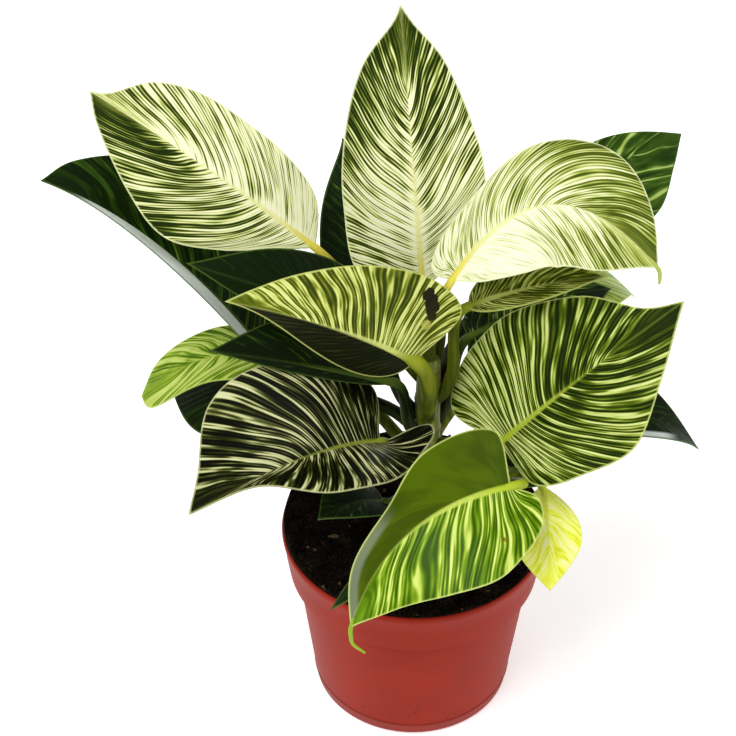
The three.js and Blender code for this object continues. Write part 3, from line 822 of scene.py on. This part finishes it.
def stalk_line(leaf):
    """Points and radii in mm of the stalk and of the midrib that goes on from it, and a note
    for each point: -1 at the stem, 0 at the base of the blade, 1 at the midrib's end."""
    height, direction = leaf["root"]
    angle = math.radians(direction)
    outward = Vector((math.cos(angle), math.sin(angle), 0))
    start = stem_axis(height)
    launch = Vector((0, 0, 1))
    if height < STEM_TOP.z:
        launch = (outward + launch).normalized()
        start = start + outward * (stem_radius(height) - FOOT_SINK)
    base = Vector(leaf["base"])
    reach = (base - start).length
    arrive = Vector(rib_station(leaf, 0.0)[3])
    bend_1, bend_2 = start + launch * reach * 0.4, base - arrive * reach * 0.3
    points, radii, notes = [], [], []
    for step in range(STALK_STEPS + 1):
        t = step / STALK_STEPS
        points.append(start * (1 - t) ** 3 + bend_1 * 3 * t * (1 - t) ** 2
                      + bend_2 * 3 * t ** 2 * (1 - t) + base * t ** 3)
        radii.append(leaf["girth"] * (STALK_FOOT_RADIUS - STALK_SLIMMING * t))
        notes.append(t - 1)
    for step in range(1, RIB_STEPS + 1):
        t = step / RIB_STEPS
        point, _, upper, _ = rib_station(leaf, t * RIB_REACH)
        neck = NECK_RADIUS * leaf["girth"]
        radius = neck + (RIB_END_RADIUS - neck) * t ** RIB_TAPER
        points.append(Vector(point) - Vector(upper) * min(0.45 + 2 * t, 1) * radius)
        radii.append(radius)
        notes.append(t)
    return points, radii, notes


print("a stalk and its midrib have", STALK_STEPS + 1 + RIB_STEPS, "points")

# %% The drawn-out tip
TAIL_STEPS = 24
TAIL_START = 0.94
TAIL_SINK = 0.8
TAIL_RADIUS = 0.95
TAIL_SLIMMING = 0.5


def tail_line(leaf):
    """Points, radii and notes of a tip that goes on past the blade."""
    last, _, upper, _ = rib_station(leaf, TAIL_START)
    knots = [last - upper * TAIL_SINK, leaf["tip"], *leaf["tail"]]
    along = np.linspace(0, 1, TAIL_STEPS)
    return smooth_line(knots, along), TAIL_RADIUS - TAIL_SLIMMING * along ** 3, 0 * along + 1


print("the tip ends", 2 * (TAIL_RADIUS - TAIL_SLIMMING), "mm thick")

# %% A rod along a line
ROD_FINENESS = 3


def tube(name, points, radii, notes):
    """A round rod through points in mm, closed at both ends."""
    curve = bpy.data.curves.new(name, "CURVE")
    curve.dimensions = "3D"
    curve.bevel_depth = 1
    curve.bevel_resolution = ROD_FINENESS
    curve.use_fill_caps = True
    spline = curve.splines.new("POLY")
    spline.points.add(len(points) - 1)
    for knot, point, radius in zip(spline.points, points, radii):
        knot.co = (*(Vector(point) * MM), 1)
        knot.radius = radius * MM
    rod = bpy.data.objects.new(name, curve)
    bpy.context.collection.objects.link(rod)
    only(rod)
    bpy.ops.object.convert(target="MESH")
    rod = bpy.context.object
    line = np.array([tuple(point) for point in points])
    places = np.array([tuple(vertex.co) for vertex in rod.data.vertices]) / MM
    nearest = np.argmin(np.linalg.norm(places[:, None] - line[None], axis=2), axis=1)
    along = np.array(notes)[nearest]
    write_note(rod.data, "vein", np.stack([along, 0 * along, along], axis=1))
    return rod


print("a rod has", 2 * ROD_FINENESS + 4, "sides")

# %% [markdown]
# ## The colours of the leaves
# A birkin's pinstripes are pale streaks that lack green. Young leaves are almost white, older
# ones dark green with a few cream lines, and leaves in the shade nearly black. Between green
# and cream there is always a thin yellow-green zone, so one ramp from dark green over leaf
# green and lime to cream, read with a streaky value, gives every stripe its soft lime rim.
# Where the value is high by much, the stripe is broad and white; where it only just passes, it
# is a hairline.

# %% Palettes
PALETTES = {
    "young": dict(
        stripes=((30, 44, 4), (50, 64, 10), (100, 114, 36),
                 (164, 176, 88), (222, 228, 150), (244, 244, 206)),
        rib_foot=(226, 210, 80), rib=(230, 230, 154), edge=(230, 234, 176), below=(180, 192, 116)),
    "pale": dict(
        stripes=((66, 80, 12), (96, 110, 30), (134, 148, 56),
                 (172, 184, 92), (210, 218, 138), (246, 246, 214)),
        rib_foot=(226, 214, 84), rib=(230, 232, 160), edge=(236, 238, 190), below=(190, 200, 126)),
    "striped": dict(
        stripes=((24, 38, 1), (48, 66, 3), (80, 98, 12),
                 (124, 142, 42), (196, 210, 116), (220, 228, 150)),
        rib_foot=(166, 180, 34), rib=(168, 184, 60), edge=(204, 214, 124), below=(104, 126, 60)),
    "olive": dict(
        stripes=((50, 60, 4), (72, 84, 8), (98, 112, 18),
                 (138, 148, 48), (196, 206, 106), (224, 230, 146)),
        rib_foot=(140, 150, 34), rib=(206, 214, 120), edge=(200, 208, 116), below=(120, 136, 60)),
    "fresh": dict(
        stripes=((52, 84, 2), (78, 114, 2), (106, 144, 12),
                 (142, 172, 42), (206, 224, 108), (228, 238, 144)),
        rib_foot=(176, 196, 50), rib=(196, 214, 92), edge=(206, 220, 120), below=(118, 144, 62)),
    "night": dict(
        stripes=((6, 9, 0), (22, 28, 3), (54, 60, 16),
                 (104, 110, 58), (190, 192, 134), (214, 216, 166)),
        rib_foot=(150, 160, 50), rib=(140, 150, 60), edge=(196, 196, 140), below=(86, 100, 56)),
    "dark": dict(
        stripes=((12, 28, 2), (30, 54, 5), (50, 78, 14),
                 (84, 110, 38), (150, 174, 84), (188, 204, 122)),
        rib_foot=(84, 104, 28), rib=(64, 86, 26), edge=(70, 96, 34), below=(80, 102, 56)),
    "lime": dict(
        stripes=((70, 102, 6), (98, 130, 16), (126, 156, 34),
                 (150, 176, 54), (178, 198, 86), (200, 216, 116)),
        rib_foot=(176, 194, 70), rib=(180, 198, 80), edge=(196, 212, 104), below=(160, 182, 80)),
    "yellow": dict(
        stripes=((222, 230, 44), (234, 240, 64), (242, 247, 82),
                 (246, 250, 104), (250, 252, 134), (252, 252, 168)),
        rib_foot=(200, 206, 60), rib=(214, 220, 76), edge=(226, 232, 120), below=(200, 210, 86)),
}
PLAIN_PAINT = paint(76, 97, 0)
SATIN_PAINT = paint(60, 78, 0)
SHADE_PAINT = paint(10, 15, 2)
print(len(PALETTES), "palettes")

# %% [markdown]
# The words that describe the paint of a leaf. A pair has one value for each half:
# - `palette`: its colours. `bands`: how many stripes run along its length.
# - `cover`, `toward_tip`, `near_rib`: how much more of it is pale, on the whole, towards the
#   tip, and next to the midrib.
# - `bold`, `sharp`: how strong the broad lines are and how narrow. `fine`: how strong the hairs
#   are. `wild`: how uneven all of it is.
# - `plain`, `shade`: how much of a half is plain green, or dark from shade.
# - `strips`: a pale strip along the margin, where the paler underside shows, brightened by a
#   painted silvery sheen; as half, width, start, end, strength and colour.
# - `spots`: blots, each as a place, a radius, a strength and a colour.

# %% What the finish of a leaf reads
HALF_SEED, LEAF_SEED = 31.7, 12.9


def leaf_notes(skin):
    """The notes on the blade, as values for the shader."""
    turn, across, share = skin.split(skin.attribute("vein"))
    from_rib, from_edge, below = skin.split(skin.attribute("depth"))
    right = skin.split(skin.attribute("half"))[0]
    return SimpleNamespace(
        turn=turn, out=abs(across), share=share, from_rib=from_rib, from_edge=from_edge,
        below=below, right=right)


def vein_grain(skin, leaf, number, at):
    """Patterns along the veins, each from 0 to 1: even lines, hairs between them, slow swells,
    short dashes and broad clouds."""
    seed = at.right * HALF_SEED + number * LEAF_SEED
    drift = skin.noise(skin.join(at.turn * 6, at.out * 1.3, seed))
    place = at.turn * leaf["bands"] + drift * 2
    swell = skin.noise(skin.join(place * 0.9, at.out * 1.8, seed + 3), detail=1)
    dashes = skin.noise(skin.join(place * 3.2, at.out * 3, seed + 6), detail=1)
    broad = skin.noise(skin.join(at.turn * 5, at.out * 1.5, seed + 9))
    line = (0.5 + 0.5 * (place * math.tau).cosine()) ** leaf["sharp"]
    hair = 0.5 + 0.5 * (place * (3 * math.tau) + swell * 7).cosine()
    return SimpleNamespace(line=line, hair=hair, swell=swell, dashes=dashes, broad=broad)


# %% The stripes
MIDDLE_LIGHT = 0.445
RAMP_PLACES = (0.38, 0.43, 0.47, 0.5, 0.53, 0.6)
SWELL_WEIGHT, DASH_WEIGHT, BROAD_WEIGHT = 0.22, 0.34, 0.18


def striped_colour(skin, leaf, at, grain):
    """The stripes, and over them the plain half and the half in shade."""
    def own(pair):
        """The first value on one half of the blade and the second on the other."""
        return at.right * (pair[1] - pair[0]) + pair[0]

    calm_tip = skin.ease(at.turn, 0.88, 0.98, 1, 0.2)
    uneven = ((grain.swell - 0.5) * SWELL_WEIGHT + (grain.dashes - 0.5) * DASH_WEIGHT
              + (grain.broad - 0.5) * BROAD_WEIGHT)
    pattern = (grain.line * leaf["bold"] + (grain.hair - 0.5) * leaf["fine"]
               + uneven * leaf["wild"])
    light = (MIDDLE_LIGHT + own(leaf["cover"]) + (at.share - 0.5) * leaf["toward_tip"]
             + skin.ease(at.from_rib, 0.5, 5, 1, 0) * leaf["near_rib"] + pattern * calm_tip)
    tints = [paint(*tint) for tint in PALETTES[leaf["palette"]]["stripes"]]
    colour = skin.ramp(light, *zip(RAMP_PLACES, tints))
    satin = skin.mix(skin.ease(grain.broad + grain.swell, 0.8, 1.2), SATIN_PAINT, PLAIN_PAINT)
    colour = skin.mix(own(leaf["plain"]), colour, satin)
    return skin.mix(own(leaf["shade"]), colour, SHADE_PAINT)


print("from dark green to white the light goes up by", round(RAMP_PLACES[-1] - RAMP_PLACES[0], 2))

# %% Strips, midrib and margin
STRIP_FADE = 0.15
STRIP_CORE = 0.6


def rib_colour(skin, tints, along):
    """The midrib's colour, which is another one close to the stalk."""
    return skin.mix(
        skin.ease(along, 0.02, 0.2), paint(*tints["rib_foot"]), paint(*tints["rib"]))


def edged_colour(skin, leaf, at, grain, colour):
    """Adds the pale strips, the midrib, broken by the dashes, and the thin margin."""
    tints = PALETTES[leaf["palette"]]
    # The strips paint the paler underside along a margin, lightened with a painted silvery sheen.
    for half, wide, low, high, strength, tint in leaf["strips"]:
        here = skin.band(at.share, low, low + STRIP_FADE, high - STRIP_FADE, high)
        side = at.right if half else 1 - at.right
        near_edge = skin.ease(at.from_edge, wide, wide * STRIP_CORE)
        colour = skin.mix(side * here * near_edge * strength, colour, paint(*tint))
    rib_width = skin.ease(at.share, 0.0, 0.7, 1.3, 0.3)
    rib_mask = (skin.ease(at.from_rib - rib_width, -0.5, 0.6, 1, 0)
                * skin.ease(at.share, 0.2, 0.7, 1, 0.3))
    colour = skin.mix(
        rib_mask * (0.65 + 0.5 * grain.dashes), colour, rib_colour(skin, tints, at.share))
    edge_mask = skin.ease(at.from_edge, 0.25, 0.9, 1, 0)
    return skin.mix(edge_mask * 0.8, colour, paint(*tints["edge"]))


# %% Spots
SPOT_BLUR = 0.3


def spotted_colour(skin, spots, colour):
    """Adds blots with ragged rims at places in mm."""
    here = skin.place()
    ragged = (skin.noise(here, scale=420, detail=2) - 0.5) * 2 * MM
    for x, y, z, size, strength, tint in spots:
        gap = skin.node("ShaderNodeVectorMath", {"operation": "DISTANCE"},
                        {0: here, 1: (x * MM, y * MM, z * MM)}, "Value")
        blot = skin.ease(gap + ragged, (size + SPOT_BLUR) * MM, (size - SPOT_BLUR) * MM)
        colour = skin.mix(blot * strength, colour, paint(*tint))
    return colour


# %% The finish of a blade
UNDER_SHOWS = 0.25
TOP_ROUGHNESS, UNDER_ROUGHNESS = 0.38, 0.6


def leaf_finish(leaf, number):
    """Pinstripes along the veins, midrib, margin and a paler underside."""
    skin = Finish(leaf["name"] + " skin", Specular_IOR_Level=0.07)
    at = leaf_notes(skin)
    grain = vein_grain(skin, leaf, number, at)
    colour = striped_colour(skin, leaf, at, grain)
    colour = edged_colour(skin, leaf, at, grain, colour)
    if leaf["spots"]:
        colour = spotted_colour(skin, leaf["spots"], colour)
    below = paint(*PALETTES[leaf["palette"]]["below"])
    under = skin.mix(UNDER_SHOWS, below, colour)
    roughness = skin.ease(at.below, 0, 1, TOP_ROUGHNESS, UNDER_ROUGHNESS)
    skin.feed(
        Base_Color=skin.mix(at.below, colour, under),
        Roughness=roughness + 0.1 * (grain.dashes - 0.5))
    skin.bump(grain.line * 0.5 + grain.hair * 0.3 + grain.broad, strength=0.3, distance=0.6 * MM)
    return skin


# %% The finish of a stalk
OLIVE_STALK = [paint(56, 66, 4), paint(80, 92, 7), paint(112, 120, 18)]
# Stalks of the dark leaves stand deep among the leaves, so their green is painted in shade, near
# black.
SHADED_STALK_PAINT = [paint(16, 24, 2), paint(26, 36, 4), paint(44, 54, 10)]
STREAK_PLACES = (0.3, 0.5, 0.7)


def stalk_finish(leaf):
    """Stalk with faint long streaks, turning to the midrib's colour on the blade."""
    skin = Finish(leaf["name"] + " stalk", Roughness=0.45, Specular_IOR_Level=0.12)
    along = skin.split(skin.attribute("vein"))[0]
    x, y, z = skin.split(skin.place())
    streaks = skin.noise(skin.join(x * 260, y * 260, z * 9), detail=1)
    # Painted shade: stalks of leaves with the dark palette get the near-black green.
    shades = SHADED_STALK_PAINT if leaf["palette"] == "dark" else OLIVE_STALK
    green = skin.ramp(streaks, *zip(STREAK_PLACES, shades))
    tints = PALETTES[leaf["palette"]]
    lime = paint(*tints["stripes"][3])
    on_blade = skin.mix(skin.ease(along, 0.3, 0.6), rib_colour(skin, tints, along), lime)
    skin.feed(Base_Color=skin.mix(skin.ease(along, -0.3, 0.05), green, on_blade))
    skin.bump(streaks, strength=0.1, distance=0.4 * MM)
    return skin


# %% [markdown]
# ## The twenty-two leaves
# The numbers for the shape are those of the solids. Only the stalks of `leaf_upper_right` and
# `leaf_upper_left` are a little thinner here, which keeps the first clear of the leaf below it.
# The leaves are listed from the top down, and the uppermost are the youngest and palest.

# %% Upper leaves
DARK_LEAF = dict(palette="dark", bold=0.06, fine=0.05, wild=0.6)
UPPER_LEAVES = [
    dict(name="leaf_crown", base=(2, 10, 219), tip=(-8, 54, 328), root=(186, 90),
         arch=3, roll=14, fold=(12, -4), wave=0.8,
         margins=(((0.09, 26), (0.34, 30), (0.58, 27), (0.8, 18), (0.94, 4)),
                  ((0.14, 19), (0.36, 29), (0.59, 25), (0.8, 16), (0.93, 5))),
         palette="young", bands=27, cover=(0, 0), toward_tip=-0.2, near_rib=0.08,
         sharp=1.6, bold=0.11, fine=0.14),
    dict(name="leaf_upper_right", base=(13, -7, 236), tip=(96, -7, 242), root=(179, 60),
         arch=8, sway=-27, roll=-35, girth=0.8, tail=((97, -8, 238), (97, -8, 235)),
         margins=(((-0.02, 8), (0.05, 14), (0.25, 17.5), (0.5, 27.5), (0.7, 28), (0.87, 16)),
                  ((0.06, 13), (0.2, 23), (0.42, 26), (0.63, 26), (0.86, 20))),
         palette="pale", bands=27, cover=(0.01, 0.09), toward_tip=-0.15, near_rib=0.03,
         sharp=1.6, bold=0.08, fine=0.12, wild=0.9),
    dict(name="leaf_upper_left", base=(-43, 17, 235), tip=(-135, 50, 290), root=(176, 160),
         arch=4, crest=0.45, roll=30, fold=(5, 5), girth=0.85, wave=0.8,
         margins=(((0.12, 10), (0.33, 28), (0.5, 35.5), (0.7, 27.5), (0.9, 12)),
                  ((0.12, 18), (0.36, 25), (0.64, 25.5), (0.83, 19), (0.94, 4))),
         palette="young", bands=27, cover=(-0.01, 0.06), toward_tip=-0.12, near_rib=0.06,
         sharp=1.6, bold=0.1, fine=0.13),
    dict(name="leaf_back_left", base=(-19, 36, 200), tip=(-32, 72, 253), root=(170, 110),
         arch=4, halves=(26, 20), fold=(25, 25), belly=(0.3, 0.15),
         cover=(-0.08, -0.08), **DARK_LEAF),
    dict(name="leaf_under_right", base=(21, 3, 215), tip=(78, 6, 228), root=(167, -10),
         arch=4, roll=-20, halves=(14, 8), fold=(5, 5), lobes=(0, 0),
         palette="olive", bands=22, cover=(-0.03, -0.03), shade=(0.1, 0.1)),
    dict(name="leaf_back_right", base=(52, 50, 215), tip=(117, 90, 243), root=(164, 65),
         arch=10, roll=-10, halves=(18, 31), fold=(5, 5), belly=(0.05, -0.1),
         margins=(None, ((0.08, 20), (0.3, 32), (0.54, 32), (0.79, 16))),
         palette="dark", bands=11, cover=(0.01, 0.02), sharp=14, bold=0.1, fine=0.02, wild=0.45),
    dict(name="leaf_middle_left", base=(-2, -22, 206), tip=(-76, -44, 254), root=(160, 265),
         arch=4, sway=4, roll=75, halves=(19, 34), fold=(-30, 2), lobes=(0.1, 0.5),
         belly=(0.6, 0.25), girth=1.5,
         margins=(None, ((-0.08, 26), (0.16, 33.5), (0.46, 29), (0.72, 18), (0.9, 7))),
         palette="olive", bands=25, cover=(-0.06, 0), shade=(0.96, 0), fine=0.1, wild=0.8,
         # a torn hole, painted: dark brown blots for the torn tissue and the shade seen through it,
         # a pale blot beside it
         spots=((2.2, -17, 221.5, 2.4, 0.6, (196, 190, 90)), (3.2, -15, 235.5, 2.9, 1, (30, 27, 6)),
                (4.6, -14.8, 231.6, 3.3, 1, (30, 27, 6)), (5.2, -15, 228, 3.3, 1, (34, 30, 7)),
                (5, -15.6, 224.7, 2.4, 1, (40, 35, 9)))),
]
print(len(UPPER_LEAVES), "upper leaves")

# %% Leaves at middle height
MIDDLE_LEAVES = [
    dict(name="leaf_left_dark", base=(-21, -3, 210), tip=(-94, -10, 247), root=(157, 180),
         arch=8, roll=50, halves=(10, 20), fold=(-10, 0), lobes=(0.1, 0.1),
         cover=(-0.13, -0.13), **DARK_LEAF),
    dict(name="leaf_right_shaded", base=(23, 15, 189), tip=(86, 46, 191), root=(152, 25),
         arch=8, roll=-20, halves=(16, 20), fold=(5, 5), lobes=(0.1, 0.3),
         palette="dark", bands=12, cover=(-0.05, -0.05), sharp=5, shade=(0.4, 0.4)),
    dict(name="leaf_left_shaded", base=(-11, -9, 184), tip=(-85, -35, 222), root=(148, 215),
         arch=2, roll=25, halves=(5, 22), fold=(-60, 5), lobes=(0, -0.1),
         palette="dark", cover=(-0.12, -0.12), shade=(0.3, 0.3), bold=0.06, fine=0.05),
    dict(name="leaf_far_left", base=(-60, -2, 186), tip=(-156, 32, 258), root=(145, 150),
         arch=13, crest=0.6, halves=(20, 38), fold=(32, 12), lobes=(0.1, 0.1), belly=(0.5, 0),
         margins=(None, ((0.12, 20), (0.4, 38), (0.72, 33), (0.93, 16))),
         palette="dark", cover=(-0.06, -0.06), bold=0.08, fine=0.05, wild=0.6,
         strips=((0, 40, -0.2, 0.9, 0.95, (248, 255, 250)),)),
    dict(name="leaf_right_large", base=(35, -22, 161), tip=(106, -18, 234), root=(140, -25),
         arch=4, crest=0.4, roll=-40, fold=(0, 5), wave=0.8,
         margins=(((-0.12, 25), (0.08, 38), (0.4, 41), (0.7, 28), (0.87, 8)),
                  ((0.06, 24), (0.32, 34), (0.58, 37), (0.8, 20))),
         lead=2.2, bands=27, cover=(-0.025, -0.035), toward_tip=-0.08, fine=0.1, bold=0.13,
         sharp=4, wild=0.8),
]
print(len(MIDDLE_LEAVES), "leaves at middle height")

# %% Lower leaves
LOWER_LEAVES = [
    dict(name="leaf_back_pale", base=(50, 40, 168), tip=(100, 66, 171), root=(136, 60),
         arch=20, halves=(26, 26), fold=(5, 5),
         palette="lime", bands=14, cover=(0.06, 0.06), wild=0.6),
    dict(name="leaf_left_pale", base=(-50, 20, 174), tip=(-119, 6, 163), root=(131, 155),
         arch=13, roll=5, fold=(0, -8),
         margins=(((0.08, 16), (0.3, 18), (0.58, 14), (0.86, 13), (0.97, 9)),
                  ((0.06, 17), (0.33, 20), (0.6, 19), (0.87, 14))),
         palette="lime", bands=14, cover=(0.01, 0.01), wild=0.8),
    dict(name="leaf_lower_left", base=(-16, -19, 159), tip=(-93, -73, 168), root=(127, 225),
         arch=12, crest=0.45, roll=20, fold=(28, 33), perk=7, wave=0.8,
         margins=(((-0.12, 1), (-0.15, 7), (-0.08, 16), (0.24, 32), (0.5, 29), (0.72, 6)),
                  ((0.01, 22), (0.25, 34), (0.53, 42), (0.76, 35.5), (0.9, 13))),
         palette="night", bands=28, cover=(-0.03, -0.045), toward_tip=0.03, fine=0.11),
    dict(name="leaf_right_dark", base=(62, 12, 141), tip=(127, 13, 126), root=(123, 15),
         arch=16, roll=-10, halves=(26, 14), fold=(5, 5), belly=(0.5, 0.15),
         cover=(-0.08, -0.08), **DARK_LEAF,
         strips=((1, 4, -0.3, 0.8, 0.9, (230, 240, 234)),)),
    dict(name="leaf_left_low", base=(-45, 6, 162), tip=(-107, 18, 157), root=(119, 180),
         arch=6, halves=(36, 24), fold=(0, 5), lobes=(0.1, 0.1), belly=(-0.3, 0),
         cover=(-0.08, -0.08), **DARK_LEAF),
    dict(name="leaf_front", base=(38, -50, 162), tip=(-28, -84, 114), root=(114, -60),
         arch=14, sway=10, roll=25, fold=(0, 20),
         tail=((-28, -86, 111), (-27, -87, 107), (-22, -89, 104)),
         margins=(((-0.11, 8), (-0.05, 23), (0.2, 36), (0.55, 30), (0.83, 14.5)),
                  ((0.01, 24), (0.26, 25), (0.49, 14), (0.78, 9))),
         lead=3, palette="fresh", bands=17, cover=(-0.01, -0.1), bold=0.13, sharp=7, wild=0.6,
         plain=(0, 1),
         strips=((1, 5, 0.45, 1.2, 0.55, (140, 148, 126)),),
         spots=((34.3, -72.9, 153.9, 0.9, 0.8, (120, 60, 30)),)),
    dict(name="leaf_soil_left", base=(-14, -30, 134), tip=(-42, -50, 143), root=(113, 222),
         arch=4, halves=(12, 18), fold=(5, 5),
         cover=(-0.08, -0.08), **DARK_LEAF),
    dict(name="leaf_right_low", base=(42, 3, 122), tip=(72, 14, 108), root=(109, 30),
         arch=6, halves=(16, 16), fold=(5, 5),
         cover=(-0.08, -0.08), **DARK_LEAF),
    dict(name="leaf_lime", base=(54, -24, 138), tip=(56, -62, 113), root=(107, -30),
         arch=8, halves=(15, 15), fold=(-10, -10), lobes=(-0.1, -0.1), belly=(-0.1, -0.1),
         palette="yellow", bands=12, cover=(0.02, 0.02), sharp=2),
    dict(name="leaf_rim", base=(0, -42, 118), tip=(-37, -66, 105), root=(106, 265),
         arch=4, halves=(8, 6), fold=(5, 5),
         cover=(-0.08, -0.08), **DARK_LEAF),
]
print(len(LOWER_LEAVES), "lower leaves")

for number, entry in enumerate(UPPER_LEAVES + MIDDLE_LEAVES + LOWER_LEAVES):
    leaf = PLAIN_LEAF | entry
    blade = make_blade(leaf)
    blade.data.materials.append(leaf_finish(leaf, number).material)
    rods = [tube(leaf["name"] + "_rod", *stalk_line(leaf))]
    if leaf["tail"]:
        rods.append(tube("tail", *tail_line(leaf)))
    stalk_material = stalk_finish(leaf).material
    for rod in rods:
        rod.data.materials.append(stalk_material)
    only(*rods, blade)
    bpy.ops.object.join()
    blade.name = leaf["name"].replace("leaf_", "") + "_blade"
    smoothed(blade, degrees=50)
    finished(blade, None, leaf["name"])

# %% [markdown]
# ## Floor and light
# The photo is a studio shot on white: light comes softly from all round, strongest from above
# and the left, so shadows are faint. A white world fills in, one large lamp above on the left
# models the leaves, and a smaller one on the right gives the pot its pink sheen.

# %% Floor
FLOOR_SIZE = 8
FLOOR_PARTS = 8

bpy.ops.mesh.primitive_grid_add(
    x_subdivisions=FLOOR_PARTS, y_subdivisions=FLOOR_PARTS, size=FLOOR_SIZE, location=(0, 0, 0))
floor = bpy.context.object
floor.name = "studio_floor"
white_paper = Finish(
    "white paper", Roughness=0.9, Base_Color=paint(250, 250, 250),
    Emission_Color=(1, 1, 1, 1), Emission_Strength=0.4)
floor.data.materials.append(white_paper.material)
print("floor", FLOOR_SIZE, "m wide")

# %% Light
WORLD_STRENGTH = 0.5

world = bpy.data.worlds.new("studio")
world.use_nodes = True
background = world.node_tree.nodes["Background"]
background.inputs["Color"].default_value = (1, 1, 1, 1)
background.inputs["Strength"].default_value = WORLD_STRENGTH
bpy.context.scene.world = world
bpy.context.scene.view_settings.view_transform = "Standard"


def sky_lamp(name, azimuth, elevation, spread, power):
    """A far, wide soft box. Azimuth 0 is the front, 90 the left; spread is how wide it looks."""
    turn, rise = math.radians(azimuth), math.radians(elevation)
    bpy.ops.object.light_add(type="SUN", rotation=(math.radians(90) - rise, 0, -turn))
    box = bpy.context.object
    box.name = name
    box.data.angle = math.radians(spread)
    box.data.energy = power


sky_lamp("key", azimuth=45, elevation=58, spread=35, power=1.8)
sky_lamp("fill", azimuth=-75, elevation=35, spread=40, power=0.7)
print("two lamps and a white world")
